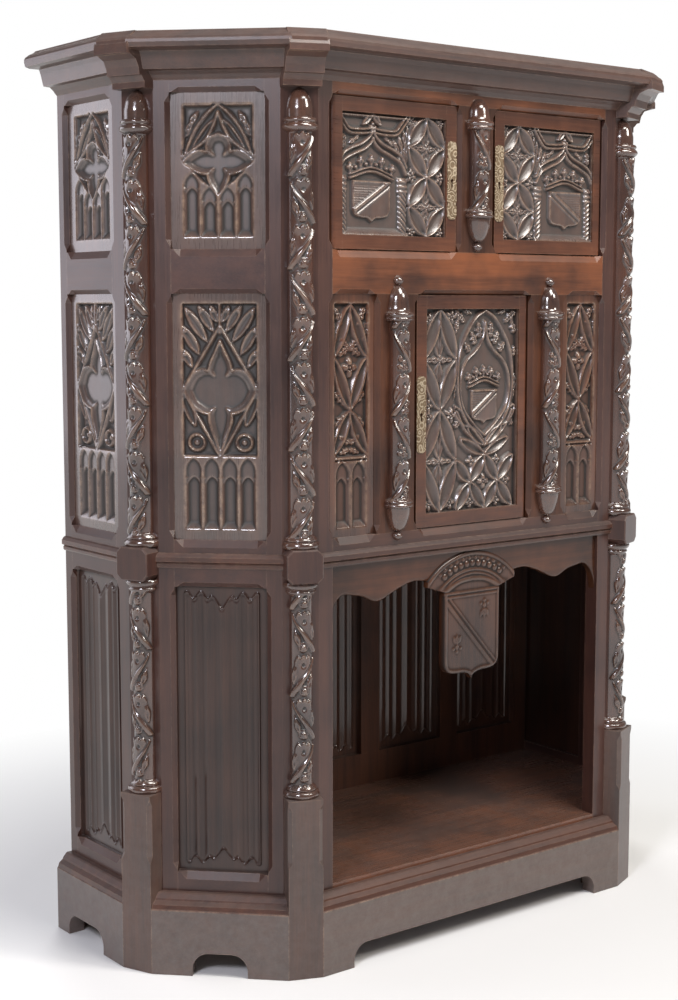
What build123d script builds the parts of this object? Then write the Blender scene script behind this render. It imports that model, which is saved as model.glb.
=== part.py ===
from build123d import *
import os
from math import atan2, cos, degrees, hypot, radians, sin, tan

os.makedirs("parts", exist_ok=True)

# Court cupboard in the Gothic taste: canted ends, half columns on the corners, two cupboard
# stages over an open niche. Millimetres, +Z up, front towards -Y, the origin on the floor in
# the middle of the footprint.

# ---------------------------------------------------------------- plan, driving dimensions
front_run = 760.0  # plinth board between the two front pedestals
cant_run = 248.5  # plinth board of each canted end
side_run = 245.0  # plinth board of each side, back to the wall
cant_angle = 45.0  # turn of the canted face away from the front
pedestal_width = 63.0
facet_width = 66.0  # flat planed on each corner post, behind its column
body_setback = 31.5  # body frame behind the plinth line
frame_thick = 30.0
panel_setback = 9.0  # panels behind the face of the frame
panel_thick = 14.0
panel_lap = 7.0  # how far a panel runs into its rebate
panel_play = 0.4
edge_bevel = 8.0
sill_bevel = 13.0  # height of the bevel under an opening
bevel_stop = 4.0  # edge left square at the corners of an opening
bevel_runout = 12.0

# ---------------------------------------------------------------- feet of the plinth
foot_cut_height = 42.0
foot_cut_radius = 30.0
front_foot = 70.0  # length of each foot left on the front board
cant_foot_cut = 100.0
side_foot_cut = 130.0
side_foot_shift = -14.0  # middle of the side cut from the middle of its board

# ---------------------------------------------------------------- heights
plinth_height = 118.0
plinth_moulding_height = 27.0
niche_floor_lip = 9.0
bottom_rail_rise = 35.0  # bottom rail above the plinth moulding
linenfold_opening = 517.0
waist_rail_height = 83.0
waist_moulding_rise = 33.0  # moulding above the lower edge of the waist rail
waist_moulding_height = 27.0
waist_overhang = 8.0
middle_opening = 427.0
mid_rail_height = 76.0
upper_opening = 263.0
top_rail_show = 20.0  # part of the top rail below the cornice
bed_moulding_height = 44.0
top_board_thick = 32.0
rail_tuck = 35.0  # bottom rails reach down behind the plinth

# ---------------------------------------------------------------- front
corner_stile = 66.0  # from the body corner to the upper and narrow openings
upper_muntin_width = 92.0
centre_opening = 282.0
lower_muntin_width = 95.0
front_waist_rail = 38.0
front_floor_rail = 60.0
apron_thick = 16.0
apron_setback = 7.0
apron_inner_peak = 59.0  # depth of the apron at its inner arches
apron_outer_peak = 67.0
apron_cusp = 87.0  # depth at the cusps between the arches
apron_end = 122.0  # depth beside the posts
inner_peak_place = 0.39  # places along the half width, as shares of it
cusp_place = 0.67
outer_peak_place = 0.895
shield_width = 140.0
shield_height = 172.0
shield_thick = 14.0
shield_setback = 3.0
arms_relief = 2.0  # bend and pearls ahead of the face of the shield
bend_width = 18.0
crown_margin = 14.0  # plain apron above the crown
crown_rise = 73.0
crown_span = 220.0
crown_sag = 48.0  # rise of the outer arc of the crown over its ends
crown_end = 12.0  # height of the ends of the crown
pearl_count = 11
pearl_radius = 5.5
pearl_inset = 25.0  # row of pearls inside the outer arc
pearl_spread = 8.0  # degrees between pearls

# ---------------------------------------------------------------- ends
cant_opening = 164.0
side_rear_stile = 25.0

# ---------------------------------------------------------------- columns
pedestal_height = 325.0
shoulder_bevel = 7.0
shaft_radius = 27.0
lower_shaft_radius = 25.0
ring_radius = 31.5
base_height = 20.0
waist_block_height = 59.0
waist_block_width = 65.5
waist_block_drop = 12.0  # top of the block below the sill of the middle openings
waist_block_proud = 1.4
acorn_height = 50.0
column_collar = 22.0
colonnette_radius = 24.0
colonnette_ring = 29.0
colonnette_ring_height = 15.0
colonnette_ring_bulge = 2.0
colonnette_drop = 17.5
colonnette_cup = 43.0
upper_colonnette_nut = 40.0  # acorn above the upper ring
lower_colonnette_nut = 47.0
lower_colonnette_knob = 18.0
upper_colonnette_foot = 2.0  # above the sill of the upper doors
upper_colonnette_head = 6.0  # below the cornice
lower_colonnette_foot = 15.0  # below the sill of the centre door
lower_colonnette_head = 43.0  # below the sill of the upper doors

# ---------------------------------------------------------------- cornice
top_overhang = 65.0
bed_overhang = 35.5
break_width = 68.0
break_extra = 8.3  # nose of a break ahead of the nose of the straight runs
break_drop = 7.0  # nose of a break below the underside of the top board
break_flare = 8.0  # nose ahead of the cap under it
nose_lap = 4.0  # the sides of a nose stand past the corners of the board between them
cap_height = 14.0

# ---------------------------------------------------------------- doors
door_setback = 5.0
door_thick = 20.0
door_gap = 1.5
door_stile = 24.0
door_rail = 25.0
door_lip = 3.0  # door panel behind the face of its frame
pin_radius = 3.5
pin_depth = 12.0  # each pin runs this far into the rail and into the door
pin_clearance = 0.05
pin_end_gap = 0.5
collar_radius = 6.5
collar_clearance = 0.1
lock_width = 44.0
lock_height = 72.0
lock_thick = 7.0  # let into the back, clear of the carving in front of it
lock_backset = 11.0  # keyhole from the closing edge of the door
bolt_length = 34.0
bolt_height = 16.0
bolt_thick = 3.6
bolt_rise = 16.0  # bolt above the keyhole
bolt_throw = 9.0
bolt_clearance = 0.3
key_radius = 3.2
plate_width = 22.0
plate_height = 140.0
plate_thick = 1.5

# ---------------------------------------------------------------- inside and back
floor_thick = 22.0
shelf_thick = 18.0
shelf_drop = 2.0  # shelves below the sill of the doors
back_thick = 22.0
back_panel_thick = 12.0
back_stile = 36.5
back_panel_count = 5
back_muntin = 50.0
back_bottom_rail = 69.0  # bottom rail of the back above the niche floor
back_rail = 70.0
back_board_count = 6
back_board_thick = 12.0

# ---------------------------------------------------------------- carving
relief = 7.0
rib = 6.0
end_margin = 20.0  # plain border of the carved panels of the ends
narrow_margin = 16.0
linen_margin = 14.0  # flat border beside the folds
linen_folds = 7

# ================================================================ levels
body_base = plinth_height + plinth_moulding_height
niche_floor = body_base + niche_floor_lip
linen_sill = body_base + bottom_rail_rise
linen_head = linen_sill + linenfold_opening
middle_sill = linen_head + waist_rail_height
middle_head = middle_sill + middle_opening
upper_sill = middle_head + mid_rail_height
upper_head = upper_sill + upper_opening
cornice_base = upper_head + top_rail_show
body_top = cornice_base + bed_moulding_height
total_height = body_top + top_board_thick
apron_top = middle_sill - front_waist_rail
block_top = middle_sill - waist_block_drop
block_base = block_top - waist_block_height
cap_base = cornice_base - cap_height

# ================================================================ plan
front_half_turn = radians(cant_angle / 2)
side_half_turn = radians((90 - cant_angle) / 2)


def heading(turn):
    """Unit step along the plan outline of the left half, turned from the front towards the back."""
    return Vector(-cos(radians(turn)), sin(radians(turn)))


def inward(turn):
    """Unit step into the cupboard, square to a face with that turn."""
    return Vector(sin(radians(turn)), cos(radians(turn)))


def column_depth(half_turn):
    """Depth of the planed facet behind the face of its pedestal."""
    return body_setback / cos(half_turn) + (facet_width - pedestal_width) / 2 * tan(half_turn)


def body_end(half_turn):
    """From the end of a plinth board to the body corner, along the body face."""
    return pedestal_width / 2 / cos(half_turn) - body_setback * tan(half_turn)


front_turn = cant_angle / 2
side_turn = (cant_angle + 90) / 2
front_pedestal = Vector(-front_run / 2, 0) + heading(front_turn) * (pedestal_width / 2)
cant_start = front_pedestal + heading(front_turn) * (pedestal_width / 2)
cant_middle = cant_start + heading(cant_angle) * (cant_run / 2)
side_pedestal = cant_middle + heading(cant_angle) * (cant_run / 2) + heading(side_turn) * (pedestal_width / 2)
side_start = side_pedestal + heading(side_turn) * (pedestal_width / 2)
side_middle = side_start + heading(90) * (side_run / 2)
rear_line = side_middle.Y + side_run / 2

front_column = front_pedestal + inward(front_turn) * column_depth(front_half_turn)
side_column = side_pedestal + inward(side_turn) * column_depth(side_half_turn)
break_nose = top_overhang + break_extra
front_extreme = (
    front_column.Y - break_nose * cos(front_half_turn) - break_width / 2 * sin(front_half_turn)
)
plan_shift = Vector(0, -(front_extreme + rear_line) / 2)  # puts the origin mid-depth


def frame_at(point, turn):
    """Place of a face: x along it, y into the cupboard, z up."""
    moved = point + plan_shift
    return Location((moved.X, moved.Y, 0), (0, 0, -turn))


front_face = frame_at(Vector(0, body_setback), 0)
cant_face = frame_at(cant_middle + inward(cant_angle) * body_setback, cant_angle)
side_face = frame_at(side_middle + inward(90) * body_setback, 90)
back_face = frame_at(Vector(0, rear_line - back_thick), 0)
front_corner = frame_at(front_column, front_turn)
side_corner = frame_at(side_column, side_turn)

front_end = front_run / 2 + body_end(front_half_turn)  # body corners along each face
cant_front_end = cant_run / 2 + body_end(front_half_turn)
cant_rear_end = cant_run / 2 + body_end(side_half_turn)
side_front_end = side_run / 2 + body_end(side_half_turn)
side_rear_end = side_run / 2

front_open = front_end - corner_stile  # half width between the front stiles
cant_open = cant_opening / 2
side_centre = side_rear_stile + cant_open - side_rear_end
half_body = side_face.position.X * -1  # side body face from the middle plane
inner_half = half_body - frame_thick


def along(face, distance, depth):
    """Plan point at a distance along a face and a depth behind it."""
    moved = (face * Location((distance, depth, 0))).position
    return (moved.X, moved.Y)


# ================================================================ helpers
upward = (Align.CENTER, Align.CENTER, Align.MIN)  # round pieces that stand on their lower end


def rise(outline, low, high):
    """Prism on a closed plan outline, given as points, between two heights."""
    face = Pos(0, 0, low) * make_face(Polyline(*outline, close=True))
    return extrude(face, amount=high - low, dir=(0, 0, 1))


def slab(shape, front, back):
    """Prism on an elevation sketch, x along and y up, between two depths behind a face."""
    return extrude(Plane.XZ.offset(-front) * shape, amount=back - front, dir=(0, 1, 0))


def board(x_low, x_high, z_low, z_high, front, back):
    """Plain board in the axes of a face."""
    size = (x_high - x_low, back - front, z_high - z_low)
    return Pos((x_low + x_high) / 2, (front + back) / 2, (z_low + z_high) / 2) * Box(*size)


def stretched(shape, reach, base, height):
    """Moulding profile from (outwards, upwards) points, stretched to its reach, its base and its height."""
    wide = max(out for out, _ in shape)
    tall = max(up for _, up in shape)
    return [(-out * reach / wide, base + up * height / tall) for out, up in shape]


def strip(profile, length):
    """Moulding of a closed (depth, height) profile, centred along a face."""
    section = make_face(Polyline(*profile, close=True))
    return Pos(-length / 2, 0, 0) * extrude(Plane.YZ * section, amount=length, dir=(1, 0, 0))


def turned(points, flat_back=True):
    """Turned piece from (radius, height[, bulge radius]) stations; half round where it is planted."""
    edges = [Line((0, points[0][1]), (points[0][0], points[0][1]))]
    for start, end in zip(points, points[1:]):
        low, high = (start[0], start[1]), (end[0], end[1])
        if len(end) == 3:
            edges.append(ThreePointArc(low, (end[2], (low[1] + high[1]) / 2), high))
        else:
            edges.append(Line(low, high))
    last = points[-1]
    if last[0] > 0:
        edges.append(Line((last[0], last[1]), (0, last[1])))
    edges.append(Line((0, last[1]), (0, points[0][1])))
    solid = revolve(Plane.XZ * make_face(edges), Axis.Z, 360)
    if flat_back:
        reach = 2 * max(point[0] for point in points) + 20
        tall = last[1] - points[0][1]
        solid -= Pos(0, reach / 2, points[0][1] + tall / 2) * Box(reach, reach, tall + 2)
    return solid


def mirrored(solid):
    """The same piece on the other end of the cupboard."""
    return mirror(solid, about=Plane.YZ)


def stopped_bevel(length, wide, deep, runout=bevel_runout):
    """Cutter for a bevel on an upright edge at the origin; both its ends run out to nothing."""
    over = 0.5  # the cutter starts ahead of the edge
    slope = hypot(wide, deep)
    reach = wide * deep / slope
    half = length / 2
    outline = Polygon(
        (-over, -half - runout * over / reach),
        (reach, runout - half),
        (reach, half - runout),
        (-over, half + runout * over / reach),
        align=None,
    )
    return Rot(0, 0, degrees(atan2(wide, deep))) * extrude(Plane.XZ * outline, amount=slope, both=True)


def bevels(x_low, x_high, z_low, z_high):
    """Stopped bevels round an opening, as one cutter in the axes of its face."""
    wide = x_high - x_low - 2 * bevel_stop
    tall = z_high - z_low - 2 * bevel_stop
    middle_x = (x_low + x_high) / 2
    middle_z = (z_low + z_high) / 2
    upright = stopped_bevel(tall, edge_bevel, edge_bevel)
    head = stopped_bevel(wide, edge_bevel, edge_bevel)
    sill = stopped_bevel(wide, sill_bevel, edge_bevel)
    cutters = [
        Pos(x_low, 0, middle_z) * Rot(0, 180, 0) * upright,
        Pos(x_high, 0, middle_z) * upright,
        Pos(middle_x, 0, z_high) * Rot(0, -90, 0) * head,
        Pos(middle_x, 0, z_low) * Rot(0, 90, 0) * sill,
    ]
    return Compound(cutters)


def pocket(x_low, x_high, z_low, z_high):
    """Rebate for a panel behind an opening, open to the back."""
    grown = panel_lap + panel_play
    back = frame_thick + 1
    return board(x_low - grown, x_high + grown, z_low - grown, z_high + grown, panel_setback, back)


# ================================================================ carving, as elevation sketches
def bar(start, end, width=rib):
    """Straight rib between two points."""
    run = Vector(*end) - Vector(*start)
    middle = (Vector(*start) + Vector(*end)) / 2
    turn = Vector(1, 0).get_signed_angle(run, Vector(0, 0, 1))
    return Pos(middle.X, middle.Y) * Rot(0, 0, turn) * Rectangle(run.length + width / 2, width)


def pointed(width, height, head):
    """Pointed arch outline standing on its middle: straight jambs under two arcs of the given height."""
    spring = height - head
    radius = (head**2 + width**2 / 4) / width  # both arcs leave the jambs upright
    arch = Line((-width / 2, 0), (width / 2, 0))
    arch += Line((width / 2, 0), (width / 2, spring))
    arch += RadiusArc((width / 2, spring), (0, height), -radius)
    arch += RadiusArc((0, height), (-width / 2, spring), -radius)
    arch += Line((-width / 2, spring), (-width / 2, 0))
    return make_face(arch)


def vesica(width, height):
    """Almond outline, pointed top and bottom."""
    bow = (height**2 / 4 + width**2 / 4) / width
    sides = RadiusArc((0, -height / 2), (0, height / 2), -bow)
    sides += RadiusArc((0, height / 2), (0, -height / 2), -bow)
    return make_face(sides)


def quatrefoil(reach, lobe):
    """Four round lobes about the middle."""
    shift = reach - lobe
    lobes = Rot(0, 0, 45) * Rectangle(2 * shift, 2 * shift)
    for step in range(4):
        lobes += Rot(0, 0, 90 * step) * Pos(shift, 0) * Circle(lobe)
    return lobes


def shield_outline(width, height):
    """Shield with its top edge at zero and its tip at the bottom."""
    shoulder = height * 0.62
    edge = Line((-width / 2, 0), (width / 2, 0))
    edge += Line((width / 2, 0), (width / 2, -shoulder))
    edge += Spline((width / 2, -shoulder), (width * 0.3, -height * 0.86), (0, -height))
    edge += Spline((0, -height), (-width * 0.3, -height * 0.86), (-width / 2, -shoulder))
    edge += Line((-width / 2, -shoulder), (-width / 2, 0))
    return make_face(edge)


def accolade_shield(width, height):
    """Square shield, its top edge at zero, with round lower corners and a small point below."""
    corner = width * 0.18
    floor = -height * 0.92
    half = make_face([
        Line((0, 0), (width / 2, 0)),
        Line((width / 2, 0), (width / 2, floor + corner)),
        Spline((width / 2, floor + corner), (width / 2 - corner, floor), tangents=((0, -1), (-1, 0))),
        Spline((width / 2 - corner, floor), (0, -height), tangents=((-1, 0), (-0.5, -1))),
        Line((0, -height), (0, 0)),
    ])
    return half + mirror(half, about=Plane.YZ)


def crown(width, height):
    """Banded crown with five fleurons, standing on its band."""
    band = Pos(0, height * 0.14) * Rectangle(width, height * 0.28)
    step = width / 4
    for index in range(5):
        tip = height * (0.85 if index % 2 else 1.0)
        middle = (index - 2) * step * 0.95
        band += Pos(middle, tip - step * 0.24) * Circle(step * 0.24)
        band += Pos(middle, tip / 2) * Rectangle(step * 0.22, tip)
    return band


def lancets(width, height, count):
    """Row of blind pointed lights, as the pockets between the ribs."""
    pitch = width / count
    lights = Sketch()
    for index in range(count):
        middle = (index - (count - 1) / 2) * pitch
        lights += Pos(middle, 0) * pointed(pitch - rib, height, height * 0.25)
    return lights


def tracery(width, height):
    """Pockets of a panel: a quatrefoil under a wide arch, over a row of four lights."""
    light_height = height * 0.42
    lights = Pos(0, -height / 2 + rib) * lancets(width, light_height, 4)
    arch_base = -height / 2 + light_height + 2 * rib
    arch_height = height / 2 - arch_base - rib / 2
    arch = Pos(0, arch_base) * pointed(width - rib, arch_height, arch_height * 0.9)
    foil_middle = arch_base + arch_height * 0.42
    foil = Pos(0, foil_middle) * quatrefoil(width * 0.42, width * 0.19)
    eye = Pos(0, foil_middle) * quatrefoil(width * 0.42 - rib, width * 0.19 - rib)
    corner = Pos(0, (arch_base + arch_height * 0.55 + height / 2) / 2)
    spandrels = corner * Rectangle(width, height / 2 - arch_base - arch_height * 0.55)
    spandrels -= Pos(0, arch_base) * pointed(width + rib, arch_height + rib, arch_height * 0.9 + rib)
    return lights + (arch - foil) + eye + spandrels


def lozenge(width, height):
    """Pockets of a panel: a quatrefoil in a long lozenge, over a row of four lights."""
    light_height = height * 0.3
    lights = Pos(0, -height / 2 + rib) * lancets(width, light_height, 4)
    middle = height / 2 - height * 0.32
    tall = height * 0.56

    def diamond(across, up):
        corners = ((0, up / 2), (-across / 2, 0), (0, -up / 2), (across / 2, 0))
        return Pos(0, middle) * Polygon(*corners, align=None)

    foil = Pos(0, middle) * quatrefoil(width * 0.4, width * 0.2)
    eye = Pos(0, middle) * quatrefoil(width * 0.4 - rib, width * 0.2 - rib)
    field = Pos(0, middle) * Rectangle(width, height * 0.62)
    outside = field - diamond(width + rib, tall + rib) - bar((0, middle + tall / 2), (0, height / 2))
    return lights + outside + (diamond(width - rib, tall - rib) - foil) + eye


def lattice(width, height, rows):
    """Pockets of a panel: pointed ovals one over another, each with a rosette."""
    pitch = height / rows
    crossing = 1.5 * rib  # the ribs of two ovals cross over this height
    field = Rectangle(width, height)
    for index in range(rows):
        middle = -height / 2 + pitch * (index + 0.5)
        oval = vesica(width * 0.86, pitch + crossing)
        oval -= vesica(width * 0.86 - 1.6 * rib, pitch - crossing / 2)
        field -= Pos(0, middle) * oval
        field -= Pos(0, middle) * Circle(width * 0.1)
        for side in (-1, 1):
            field -= bar((side * width * 0.38, middle), (side * width / 2, middle))
    return field


def narrow_field(width, height):
    """Pockets of the narrow front panels: two pointed ovals over two lights."""
    light_height = height * 0.28
    lights = Pos(0, -height / 2 + rib) * lancets(width, light_height, 2)
    upper = height - light_height - 2.5 * rib
    return lights + Pos(0, height / 2 - upper / 2) * lattice(width, upper, 2)


def arms_field(width, height):
    """Pockets round a crowned shield under an ogee arch between two small shafts."""
    field = Rectangle(width, height)
    shield_wide = width * 0.56
    shield_tall = height * 0.36
    shield_top = -height * 0.02
    field -= Pos(0, shield_top) * shield_outline(shield_wide, shield_tall)
    field -= Pos(0, shield_top + rib * 0.8) * crown(shield_wide, height * 0.2)
    for side in (-1, 1):
        post = Pos(side * (width / 2 - rib), -height * 0.22) * Rectangle(1.6 * rib, height * 0.52)
        field -= post
        spring = (side * (width / 2 - rib), height * 0.04)
        field -= bar(spring, (side * width * 0.3, height * 0.25))
        field -= bar((side * width * 0.3, height * 0.25), (0, height * 0.42))
    field -= bar((0, height * 0.4), (0, height / 2))
    return field


def centre_field(width, height):
    """Pockets of the centre door: a lattice strip beside a great almond that holds crowned arms."""
    strip_width = width * 0.34
    main_width = width - strip_width - rib
    field = Pos(-width / 2 + strip_width / 2, 0) * lattice(strip_width, height, 2)
    middle = width / 2 - main_width / 2
    upper = height * 0.68
    almond = vesica(main_width + rib, upper + 1.5 * rib)  # its tips and flanks run past the field
    almond -= vesica(main_width - 1.4 * rib, upper - 2 * rib)
    main = Rectangle(main_width, upper) - almond
    main -= Pos(0, -upper * 0.08) * shield_outline(main_width * 0.46, upper * 0.26)
    main -= Pos(0, -upper * 0.08 + rib * 0.8) * crown(main_width * 0.48, upper * 0.14)
    field += Pos(middle, height / 2 - upper / 2) * main
    lower = height - upper - rib
    field += Pos(middle, -height / 2 + lower / 2) * lattice(main_width, lower, 1)
    return field


def carved(shape, middle_x, middle_z, front):
    """Cutter for a carved field on a panel whose face is at the given depth."""
    return slab(Pos(middle_x, middle_z) * shape, front - 1, front + relief)


def panel_board(x_low, x_high, z_low, z_high, front=panel_setback, thick=panel_thick):
    """Panel that fills its rebate, less the play round it."""
    grown = panel_lap
    return board(x_low - grown, x_high + grown, z_low - grown, z_high + grown, front, front + thick)


def linenfold(x_low, x_high, z_low, z_high, thick=panel_thick):
    """Panel with vertical folds of cloth: hollows and ridges that stop short of both ends."""
    low = z_low + 1.6 * linen_margin
    high = z_high - linen_margin
    width = (x_high - x_low - 2 * linen_margin) / linen_folds
    hollow_radius = width * 0.62
    panel = panel_board(x_low, x_high, z_low, z_high, thick=thick)
    for index in range(linen_folds):
        middle = x_low + linen_margin + width * (index + 0.5)
        dip = 0.012 * (x_high - x_low) * (index % 2)
        hollow = Pos(middle, panel_setback - hollow_radius * 0.45, low + dip)
        panel -= hollow * Cylinder(hollow_radius, high - low - 2 * dip, align=upward)
    return panel


# ================================================================ corner posts, pedestals, columns
def corner_post(face_a, end_a, open_a, face_b, end_b, open_b, half_turn):
    """Post that wraps a body corner, its outer edge planed flat behind the column."""
    cut = facet_width / 2 / cos(half_turn)
    inner = frame_thick * tan(half_turn)
    outline = [
        along(face_a, open_a, 0),
        along(face_a, end_a + cut, 0),
        along(face_b, end_b - cut, 0),
        along(face_b, open_b, 0),
        along(face_b, open_b, frame_thick),
        along(face_b, end_b - inner, frame_thick),
        along(face_a, open_a, frame_thick),
    ]
    return rise(outline, 0, body_top)


stages = {
    "linenfold": (linen_sill, linen_head),
    "middle": (middle_sill, middle_head),
    "upper": (upper_sill, upper_head),
}
cant_cutters = [pocket(-cant_open, cant_open, *stage) for stage in stages.values()]
cant_cutters += [bevels(-cant_open, cant_open, *stage) for stage in stages.values()]
side_low = side_centre - cant_open
side_high = side_centre + cant_open
side_cutters = [pocket(side_low, side_high, *stage) for stage in stages.values()]
side_cutters += [bevels(side_low, side_high, *stage) for stage in stages.values()]

muntin_inner = centre_opening / 2
muntin_outer = muntin_inner + lower_muntin_width
half_muntin = upper_muntin_width / 2
narrow_spans = [(-front_open, -muntin_outer), (muntin_outer, front_open)]
front_cutters = [pocket(low, high, middle_sill, middle_head) for low, high in narrow_spans]
front_cutters += [bevels(low, high, middle_sill, middle_head) for low, high in narrow_spans]
front_cutters.append(bevels(-muntin_inner, muntin_inner, middle_sill, middle_head))
front_cutters.append(bevels(-front_open, -half_muntin, upper_sill, upper_head))
front_cutters.append(bevels(half_muntin, front_open, upper_sill, upper_head))


def framed(solid, cutters):
    """Frame member less the rebates and bevels of the openings beside it, one solid."""
    for cutter in cutters:
        solid -= cutter
    return solid.solid()


def on(face, cutters):
    """Cutters moved from the axes of a face to their place."""
    return [face * cutter for cutter in cutters]


post_front = corner_post(
    front_face, -front_end, -front_open, cant_face, cant_front_end, cant_open, front_half_turn
)
post_front = framed(post_front, on(front_face, front_cutters) + on(cant_face, cant_cutters))
post_side = corner_post(
    cant_face, -cant_rear_end, -cant_open, side_face, side_front_end, side_high, side_half_turn
)
post_side = framed(post_side, on(cant_face, cant_cutters) + on(side_face, side_cutters))
back_post = side_face * board(-side_rear_end, side_low, 0, body_top, 0, frame_thick)
back_post = framed(back_post, on(side_face, side_cutters))

def pedestal(half_turn):
    """Foot of a corner: a square block, the upper part of its front edges bevelled."""
    depth = column_depth(half_turn)
    block = board(-pedestal_width / 2, pedestal_width / 2, 0, pedestal_height, -depth, 0)
    cutter = stopped_bevel(pedestal_height * 0.36, shoulder_bevel, shoulder_bevel)
    left_edge = Pos(-pedestal_width / 2, -depth, pedestal_height * 0.8) * cutter
    return block - left_edge - mirrored(left_edge)


def column_shaft(base, top, radius):
    """Stations of a plain shaft on a torus base."""
    return [
        (ring_radius, base),
        (ring_radius, base + base_height * 0.55, ring_radius + 2),
        (radius + 1.5, base + base_height * 0.75),
        (radius, base + base_height),
        (radius, top),
    ]


def acorn(base, radius, height):
    """Stations of an acorn finial above a double ring."""
    return [
        (radius, base),
        (radius, base + height * 0.35),
        (radius * 0.55, base + height * 0.92, radius * 0.93),
        (radius * 0.35, base + height),
    ]


ring_base = cap_base - acorn_height - column_collar
upper_stations = column_shaft(block_top, ring_base, shaft_radius) + [
    (ring_radius - 2, ring_base + 1),
    (ring_radius - 2, ring_base + column_collar * 0.55, ring_radius + 1),
    (ring_radius - 4, ring_base + column_collar * 0.6),
    (ring_radius - 4, ring_base + column_collar * 0.95, ring_radius - 1),
]
upper_stations += acorn(ring_base + column_collar, shaft_radius * 0.85, acorn_height)
upper_shaft = turned(upper_stations)
lower_stations = column_shaft(pedestal_height, block_base - column_collar, lower_shaft_radius) + [
    (ring_radius - 3, block_base - column_collar * 0.6),
    (ring_radius - 1, block_base, ring_radius + 1),
]
lower_shaft = turned(lower_stations)


def waist_block(half_turn):
    """Eight-sided block between the two shafts of a corner."""
    nose = column_depth(half_turn) + waist_block_proud
    face = Rectangle(waist_block_width, waist_block_height)
    face = chamfer(face.vertices(), length=waist_block_width * 0.15)
    block = slab(Pos(0, block_base + waist_block_height / 2) * face, -nose, 0)
    return chamfer(block.faces().sort_by(Axis.Y)[0].edges(), length=2)


def colonnette(base, top, nut, knob):
    """Half shaft planted on a muntin: drop, cup, ring, shaft, ring and acorn, some with a knob on top."""
    cup_base = base + colonnette_drop
    low_ring = cup_base + colonnette_cup
    nut_top = top - knob
    high_ring = nut_top - nut - colonnette_ring_height
    bulge = colonnette_ring + colonnette_ring_bulge
    stations = [
        (colonnette_ring * 0.1, base),
        (colonnette_ring * 0.2, cup_base, colonnette_ring * 0.36),
        (colonnette_ring * 0.62, cup_base + colonnette_cup * 0.3),
        (colonnette_ring * 0.85, low_ring, colonnette_ring * 0.92),
        (colonnette_ring, low_ring),
        (colonnette_ring, low_ring + colonnette_ring_height, bulge),
        (colonnette_radius, low_ring + colonnette_ring_height * 1.13),
        (colonnette_radius, high_ring - colonnette_ring_height * 0.13),
        (colonnette_ring, high_ring),
        (colonnette_ring, high_ring + colonnette_ring_height, bulge),
        (colonnette_ring * 0.74, high_ring + colonnette_ring_height * 1.07),
        (colonnette_ring * 0.74, nut_top - nut * 0.6),
        (colonnette_ring * 0.24, nut_top, colonnette_ring * 0.6),
    ]
    if knob:
        stations.append((colonnette_ring * 0.08, top, colonnette_ring * 0.36))
    return turned(stations)


# ================================================================ plinth
def plinth_board(run, turn_a, turn_b, cut_width, cut_middle):
    """Board that closes the body setback, mitred to its pedestals and cut away between its feet."""
    outline = [
        (-run / 2, -body_setback),
        (run / 2, -body_setback),
        (run / 2 - body_setback * tan(turn_b), 0),
        (-run / 2 + body_setback * tan(turn_a), 0),
    ]
    cut = fillet(Rectangle(cut_width, 2 * foot_cut_height).vertices(), foot_cut_radius)
    return rise(outline, 0, plinth_height) - slab(Pos(cut_middle, 0) * cut, -body_setback - 1, 1)


plinth_front = plinth_board(front_run, front_half_turn, front_half_turn, front_run - 2 * front_foot, 0)
plinth_cant = plinth_board(cant_run, side_half_turn, front_half_turn, cant_foot_cut, 0)
plinth_side = plinth_board(side_run, 0, side_half_turn, side_foot_cut, side_foot_shift)

# ================================================================ mouldings
plinth_shape = [
    (0, 0), (31.5, 0), (29.5, 2), (27.5, 9), (19.5, 15), (18.5, 18), (12.5, 25), (9.5, 27), (0, 27),
]
waist_shape = [(0, 0), (3, 0), (5, 3), (5, 7), (3, 9), (8, 12), (8, 20), (4, 25), (0, 27)]
bed_shape = [(0, 0), (4, 4), (7, 8), (14, 14), (27, 15), (28.5, 20), (32.5, 36), (35.5, 44), (0, 44)]
cap_shape = [
    (0, 0), (24, 0), (24, 10), (28, 14), (32, 19), (38, 20), (41, 33), (48, 44), (65.3, 51), (0, 51),
]
nose_shape = [(0, 0), (73.3, 0), (73.3, 11), (70.3, 19), (65.3, 27), (57.3, 34), (50.3, 39), (0, 39)]
edge_shape = [(55, 0), (63, 2.5), (65, 10), (65, 15), (62, 19), (55, 24), (45, 29), (42, 32)]

waist_line = linen_head + waist_moulding_rise
plinth_profile = stretched(plinth_shape, body_setback, plinth_height, plinth_moulding_height)
waist_profile = stretched(waist_shape, waist_overhang, waist_line, waist_moulding_height)
bed_profile = stretched(bed_shape, bed_overhang, cornice_base, bed_moulding_height)

front_block = front_corner * waist_block(front_half_turn)
side_block = side_corner * waist_block(side_half_turn)
front_foot_block = front_corner * pedestal(front_half_turn)
side_foot_block = side_corner * pedestal(side_half_turn)

nose_base = body_top - break_drop
cap_profile = stretched(cap_shape, break_nose - break_flare, cap_base, nose_base - cap_base)
nose_profile = stretched(nose_shape, break_nose, nose_base, total_height - nose_base)
cap = strip(cap_profile, break_width)
nose = strip(nose_profile, break_width)
front_break = front_corner * cap  # the cap over a column, under the nose of the top board
side_break = side_corner * cap
front_nose = front_corner * nose
side_nose = side_corner * nose


def largest(shape):
    """The main solid of a cut, without slivers."""
    return shape.solids().sort_by(SortBy.VOLUME)[-1]


def mouldings(profile, blocks, run_front, run_cant, run_side):
    """The five lengths of one moulding, each cut to the blocks that stop it."""
    front = front_face * strip(profile, run_front)
    cant = cant_face * strip(profile, run_cant)
    side = side_face * Pos((run_side - side_run) / 2, 0, 0) * strip(profile, run_side)
    for block in blocks:
        front -= block
        front -= mirrored(block)
        cant -= block
        side -= block
    return [largest(front), largest(cant), largest(mirrored(cant)), largest(side), largest(mirrored(side))]


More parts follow.
